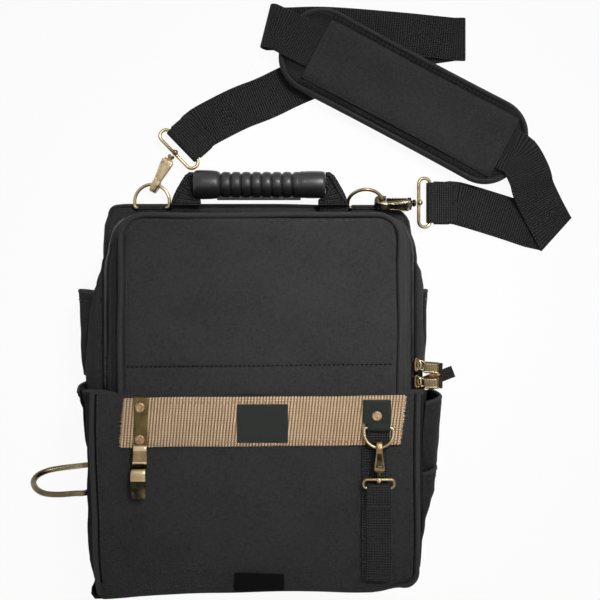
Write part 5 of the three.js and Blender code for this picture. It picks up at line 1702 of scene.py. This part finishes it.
def carrying():
    top_rings()
    angle = math.radians(76)
    across, up = RING_HALF * math.cos(angle), RING_LEG + RING_HALF * math.sin(angle)
    contact = Vector((LEFT_RING_X + across, RING_Y + up, RING_Z))
    axis = math.radians(62)
    along = Vector((-math.cos(axis), -math.sin(axis), 0))
    hook("hook_left_metal", contact, along, UP, 1, ("left_hook", "left_gate"), ("hook_left", "gate_left"),
         [PALE_BRASS_AND_HIGHLIGHT, PALE_BRASS_AND_HIGHLIGHT, BRASS])
    swivel = contact - along * HOOK["contact_x"]
    left_heading = math.radians(44)
    left_bar = eye("eye_left_wire", swivel, left_heading, *STRAP_EYE, "strap", "eye_left")

    tilt = math.radians(RIGHT_RING_TILT)
    way = Vector((0, math.cos(tilt), math.sin(tilt)))
    reach = 6.5
    leg_x = math.sqrt(RING_HALF ** 2 - (reach - RING_LEG) ** 2)
    contact = Vector((RIGHT_RING_X + leg_x, RING_Y, RING_Z)) + way * reach
    drop = math.radians(7)
    along = Vector((-math.cos(drop), 0, math.sin(drop)))
    across = way.cross(along).normalized()
    hook("hook_right_metal", contact, along, across, 1, ("right_hook", "right_gate"), ("hook_right", "gate_right"),
         [STEEL_BRASS, PALE_BRASS_AND_HIGHLIGHT, SHADOW_BRASS])
    swivel = contact - along * HOOK["contact_x"]
    right_bar = eye("eye_right_wire", swivel, 0, *STRAP_EYE, "bag", "eye_right")
    shoulder_strap(left_bar, left_heading, right_bar, 0)


# Tape strap on the front

def tape_strap():
    x, ring_y = 97, -28.5
    barrel = 1.5 + 1.2
    ring_z = 102.6 + barrel
    matrix = Matrix.Translation((x, ring_y, ring_z)) @ turned("X", -10) @ turned("Z", 180)
    ring("front_ring_wire", d_outline(11.4, 4, 2), 1.1, matrix, "front_ring", "front_ring", BRASS)
    contact = Vector((0, -15.4, 0))
    contact.rotate(Matrix.Rotation(math.radians(-10), 3, "X"))
    contact += Vector((x, ring_y, ring_z))
    along = Vector((0, 1, 0))
    hook("small_hook_metal", contact, along, UP, 0.75, ("small_hook", "small_gate"), ("small_hook", "small_gate"),
         [BROWN_BRASS, BROWN_BRASS, SHADOW_BRASS])
    swivel = contact - along * (HOOK["contact_x"] * 0.75)
    bar = eye("small_eye_wire", swivel, -math.pi / 2, 105.3, 10, 12, 3, 1.1, 1.3, "bag", "small_eye")

    form = Form()
    neck = []
    for out, y, half, z in ((1.2, -6.9, 10.9, 103.7), (1.2, -8, 11.0, 103.75), (1.2, -18, 11.0, 103.75),
                            (1.2, -24.6, 10.9, 103.8), (0, -26, 9.2, 104.2)):
        neck += lay([(x - out, y, z)], (half, 0, 0))
    loop = round_bar(Vector((x, ring_y, ring_z)), 2.1, Vector((9.0, 0, 0)), arc(60, 260, 14), Vector((0, 1, 0)))
    tail = lay([(x, y, 102.95) for y in (-24, -18, -8)], (9.6, 0, 0), -UP)
    band(form, neck + loop + tail, 0.95, columns=8, edge=0.5)
    box_stitches(form, x - 8.6, x + 8.6, -22.6, -8.4, 104.3, 1.8, 1.0, 0.2, look=1)
    put("ring_tab_cloth", form, ["tab", "thread"], "bag", "webbing", "ring_tab")
    rivet("ring_tab_stud", x - 1.4, -19.6, 104.3, 4, "ring_tab_rivet")
    under = Form()
    band(under, lay([(x - 0.6, y, 102.95) for y in spaced(-44.6, -25.6, 8)], (9.4, 0, 0)), 0.9, columns=6, edge=0.5)
    put("ring_tab_lining", under, "webbing", "bag", "webbing")

    line = ((x - 3, -43.6), (x - 3, -80), (x - 3.4, -120), (x - 3, -148.8))
    stations = course([(*place, 101.1) for place in line], 1, 10)
    piece, total = ribbon("tape_strap_under", stations, 1.5, 6, 0.8, "bag", "tape_strap_rear")
    stations = course([(x, bar.y - 2.4, bar.z - 0.4), (x, bar.y - 8, 103.9), (x, bar.y - 14, 103.2),
                       (x + 0.4, -105, 103.1), (x + 0.6, -130, 103.0), (x, -148.8, 102.9)], 1, 10)
    piece, total = ribbon("tape_strap_upper", stations, 1.5, 6, 0.8, "bag", "tape_strap_front")

    turn = Form()
    stations = round_bar(bar, 2.2, Vector((-9.2, 0, 0)), arc(-50, -250, 14), Vector((0, -1, 0)))
    ends = ((4, bar.z + 1.3), (8, 105.5), (13, 104.8), (16.5, 104.6))
    stations += lay([(x, bar.y - distance, z) for distance, z in ends], (-10, 0, 0))
    band(turn, stations, 1.3, columns=6, edge=0.7)
    stitches(turn, [(x - 9, bar.y - 14.3, 105.6), (x + 9, bar.y - 14.3, 105.6)], 2.0, 1.0, 0.26, look=1)
    stitches(turn, [(x - 8.8, -146.3, 103.8), (x + 8.8, -145.8, 103.8)], 2.0, 1.0, 0.26, look=1)
    put("tape_strap_turn", turn, ["webbing", "thread"], "bag", "webbing")


# Sliders, pulls and the zipper's end tab

def slider(name, y, node, body):
    rear = Vector((HALF, 0, REAR_Z))
    up = (Vector((112, 0, FRONT_Z)) - rear).normalized()
    out = Vector((up.z, 0, -up.x))
    centre = rear + up * ZIP_MIDDLE
    form = Form()
    rows = []
    for z, inset in ((3.5, 0.5), (3.8, 0), (4.7, 0), (5.1, 0.6)):
        row = []
        for k in range(28):
            angle = 2 * math.pi * k / 28
            px, py = squared(angle, 0.55, 0.6)
            waist = 1 - 0.18 * step(math.sin(angle), -0.2, 0.9)
            row.append((px * (4.0 - inset) * waist, py * (5.5 - inset), z))
        rows.append(row)
    form.skin(rows, [k * 0.8 for k in range(29)], [0, 1, 2, 3])
    tube(form, [(-3.6, -4.6, 4.4), (-3.7, -4.0, 1.6), (-3.7, 4.0, 1.6), (-3.6, 4.6, 4.4)], 0.55, 8)
    bridge = [(0, -4.3, 5.0), (0, -4.0, 6.6), (0, -2.6, 8.0), (0, 0, 8.5), (0, 2.6, 8.0), (0, 4.0, 6.6), (0, 4.3, 5.0)]
    tube(form, smooth(bridge, 0.8), 0.75, 10, flat=1.5, start_normal=(1, 0, 0))
    tube(form, [(0, -1.5, 5.0), (0, 0, 6.2), (0, 1.5, 5.0)], [0.9, 1.0, 0.9], 8)
    form.moved(frame_matrix(up, Vector((0, 1, 0)), out, Vector((centre.x, y, centre.z))))
    put(name, form, BRASS, body, "brass", node, sharp=50)
    return centre + out * 7.0


def pull(name, pivot, y, node, body, look, drop, tilt):
    """A slider's pull: an open link that hangs aslant from the slider and a framed plate with a ribbed panel."""
    form = Form()
    x0, x1, half = 3.6, 19.0, 4.8
    rows = rounded_rows(x0, x1 - 2.6, -half, half, 1.1, 1.1, 28, 14, 4)

    def top(x, yy):
        near = min(x - x0, x1 - 2.6 - x, half - abs(yy))
        lip = 0.6 * math.exp(-((near - 0.75) / 0.45) ** 2)
        inner = x0 + 1.9 < x < x1 - 4.5 and abs(yy) < half - 1.9
        rib = 0.24 * abs(math.sin(math.pi * (x - x0) / 2.1)) if inner else 0.0
        return 0.25 + 0.45 * edge_mass(max(near, 0), 0.8) + lip + rib - 0.35

    slab(form, rows, top, lambda x, yy: -top(x, yy))
    rows = rounded_rows(x1 - 2.8, x1, -half + 0.3, half - 0.3, 0.8, 0.8, 6, 10, 3)
    slab(form, rows, lambda x, yy: 0.8, lambda x, yy: -0.8, look=1)
    form.moved(Matrix.Translation((0, -drop, 0)) @ turned("Z", tilt))
    low = -0.75 * drop
    link = [(4.8, low - 2.0, 0), (2.4, low - 2.9, 0), (0.2, low - 2.0, 0), (-1.4, -0.2, 0), (-0.6, 2.4, 0),
            (1.2, 3.2, 0), (3.2, 2.4, 0), (5.2, low + 2.2, 0)]
    tube(form, smooth(link, 0.7, True), 0.85, 10, True, start_normal=UP, look=2)
    tube(form, [(4.4, -drop - 3.4, 0.5), (4.2, -drop, 0.8), (4.4, -drop + 3.4, 0.5)], [0.8, 1.1, 0.8], 8)
    form.moved(Matrix.Translation((pivot.x, y, pivot.z)))
    put(name, form, [look, SHADOW_BRASS, BROWN_BRASS], body, "dark_brass", node, sharp=45)


def zip_end_tab():
    turn = math.radians(21)
    foot = 130.3 + 5 * math.sin(turn)
    matrix = Matrix.Translation((foot, 0.4, 57)) @ Matrix.Rotation(turn, 4, "Z")
    form = Form()
    stations = lay([(x, 0, -1.2) for x in spaced(0, 32.8, 18)], (0, 4.9, 0))
    band(form, stations, 2.2, columns=5, edge=0.9, relief=lambda d: 0.12 * math.sin(d))
    bit = rounded_rows(12.5, 21.5, 1.2, 4.6, 0.6, 0.6, 14, 6, 3)
    slab(form, bit, lambda x, y: 0.45, lambda x, y: -0.4, look=1)
    form.moved(matrix)
    put("zip_end_cloth", form, ["webbing", COPPER], "bag", "webbing", "zip_end_tab")


# Hammer loop

# Where the plate's middle lies on the left wall
HAMMER_PLACE = (-79, 48.5)


def hammer_holder():
    turn = math.radians(23.5)
    bar = Vector((0, -math.sin(turn), math.cos(turn)))
    out = Vector((-1, 0, 0))
    matrix = frame_matrix(out, bar, out.cross(bar), Vector((-136.5, *HAMMER_PLACE)))
    wire = ((12, 20.5), (24, 22), (36, 20.5), (45, 13.5), (49.6, 3), (48, -6.5), (41, -13.5), (30, -17.5), (16, -20.6),
            (8, -22.4), (4.5, -22.6), (1.8, -20.2), (0.2, -16), (0, -12), (0, 0), (0, 14), (1.6, 18.6), (5, 20.2))
    shape = smooth([(x + 1.2, y, 0) for x, y in wire], 1.8, True)
    ring("hammer_loop_wire", shape, 2.4, matrix, "hammer_loop", "hammer_loop", OLD_BRASS)

    form = Form()
    rows = rounded_rows(-26.5, 25, -16.5, 16.5, 3, 3, 30, 18, 4)

    def top(x, y):
        near = min(26.5 + x, 25 - x, 16.5 - abs(y))
        return 0.6 + 1.4 * edge_mass(max(near, 0), 2.2) - 0.25 * math.exp(-((near - 3) / 0.5) ** 2)

    slab(form, rows, top, lambda x, y: 0.05)
    box_stitches(form, -23.5, 22, -13.5, 13.5, 1.95, 2.4, 1.2, 0.3, look=1)
    form.moved(frame_matrix(Vector((0, 0, 1)), Vector((0, 1, 0)), Vector((-1, 0, 0)), Vector((-130.4, *HAMMER_PLACE))))
    form.points = [(x - min(lower_bulge(-1, y, z), 1.0), y, z) for x, y, z in form.points]
    start = len(form.points)
    side = Vector((0, 12.9, 0))
    lead = ((-3.4, 6.6, 0.9, 0.4), (-3.0, 4.0, 0.5, 0.85))
    stations = [(Vector((x, 0, z)), side, Vector((nx, 0, nz))) for x, z, nx, nz in lead]
    stations += round_bar(Vector(), 3.7, side, arc(130, -260, 20), Vector((1, 0, 0)))
    stations += [(Vector((x, 0, -z)), side, Vector((nx, 0, -nz))) for x, z, nx, nz in lead[::-1]]
    band(form, stations, 1.3, columns=6, edge=0.7)
    form.moved(matrix, start)
    put("hammer_plate_cloth", form, ["webbing", "thread"], "bag", "webbing", "hammer_plate")


# Scene: camera, floor and light

# Name, place (m), size (m), power (W), spread (degrees), colour
LAMPS = (
    ("key", (0.34, 0.5, 0.85), 0.36, 0.62, 36, (1.0, 0.99, 0.97)),
    ("fill", (0.95, 0.4, 0.9), 0.9, 1.5, 180, (0.95, 0.97, 1.0)),
    ("rim", (0.1, -1.0, 0.7), 0.5, 0.8, 180, (1.0, 0.97, 0.93)),
)


def studio():
    scene = bpy.context.scene
    scene.view_settings.view_transform = "Standard"
    data = bpy.data.cameras.new("camera")
    data.sensor_fit = "HORIZONTAL"
    data.angle = 2 * math.atan(0.3)
    data.clip_start = 0.01
    camera = bpy.data.objects.new("camera", data)
    camera.location = (0.0354, 0.0714, 0.887)
    scene.collection.objects.link(camera)
    scene.camera = camera

    world = bpy.data.worlds.new("studio")
    scene.world = world
    net = Net(world)
    soft = net.add("ShaderNodeBackground", (0.96, 0.97, 1.0, 1), 0.2)
    white = net.add("ShaderNodeBackground", (0.965, 0.965, 0.965, 1), 1.0)
    seen = net.rays("Is Camera Ray", "Is Glossy Ray", "Is Transmission Ray")
    net.add("ShaderNodeOutputWorld", net.mixed(seen, soft, white))

    for name, place, size, power, spread, colour in LAMPS:
        lamp = bpy.data.lights.new(name, "AREA")
        lamp.energy = power
        lamp.size = size
        lamp.color = colour
        lamp.spread = math.radians(spread)
        light = bpy.data.objects.new(name, lamp)
        light.location = place
        light.rotation_euler = (Vector((0.03, 0.05, 0.0)) - Vector(place)).to_track_quat("-Z", "Y").to_euler()
        scene.collection.objects.link(light)

    mesh = bpy.data.meshes.new("floor")
    mesh.from_pydata([(-4, -4, 0), (4, -4, 0), (4, 4, 0), (-4, 4, 0)], [], [(0, 1, 2, 3)])
    floor = bpy.data.objects.new("floor", mesh)
    floor.location = (0, 0, -0.0002)
    scene.collection.objects.link(floor)
    look = bpy.data.materials.new("floor")
    net = Net(look)
    diffuse = net.add("ShaderNodeBsdfDiffuse", (0.9, 0.9, 0.9, 1))
    share = net.sum("MULTIPLY", net.rays("Is Camera Ray", "Is Glossy Ray"), 0.94)
    net.add("ShaderNodeOutputMaterial", net.mixed(share, diffuse, net.add("ShaderNodeEmission")))
    mesh.materials.append(look)


def build():
    studio()
    back_panel()
    lower_shell()
    upper_shell()
    zipper()
    flap_shell()
    for name, values in POCKETS.items():
        pocket(name, *values)
    inner_pocket()
    front_band()
    label()
    base_tab()
    tape_clip()
    rivet("clip_stud_upper", -90, -12.7, 104.5, 3.85, "clip_rivet_upper")
    rivet("clip_stud_lower", -90, -38.0, 104.5, 3.85, "clip_rivet_lower")
    tape_strap()
    for name, y, drop, tilt in (("lower", 4.3, 0.8, 0), ("upper", 18.3, 1.7, -4)):
        pivot = slider("slider_" + name + "_metal", y, "slider_" + name, name + "_slider")
        pull("pull_" + name + "_metal", pivot, y, "pull_" + name, name + "_pull", OLD_BRASS, drop, tilt)
    zip_end_tab()
    hammer_holder()
    handle()
    carrying()
    shoulder_pad()


build()
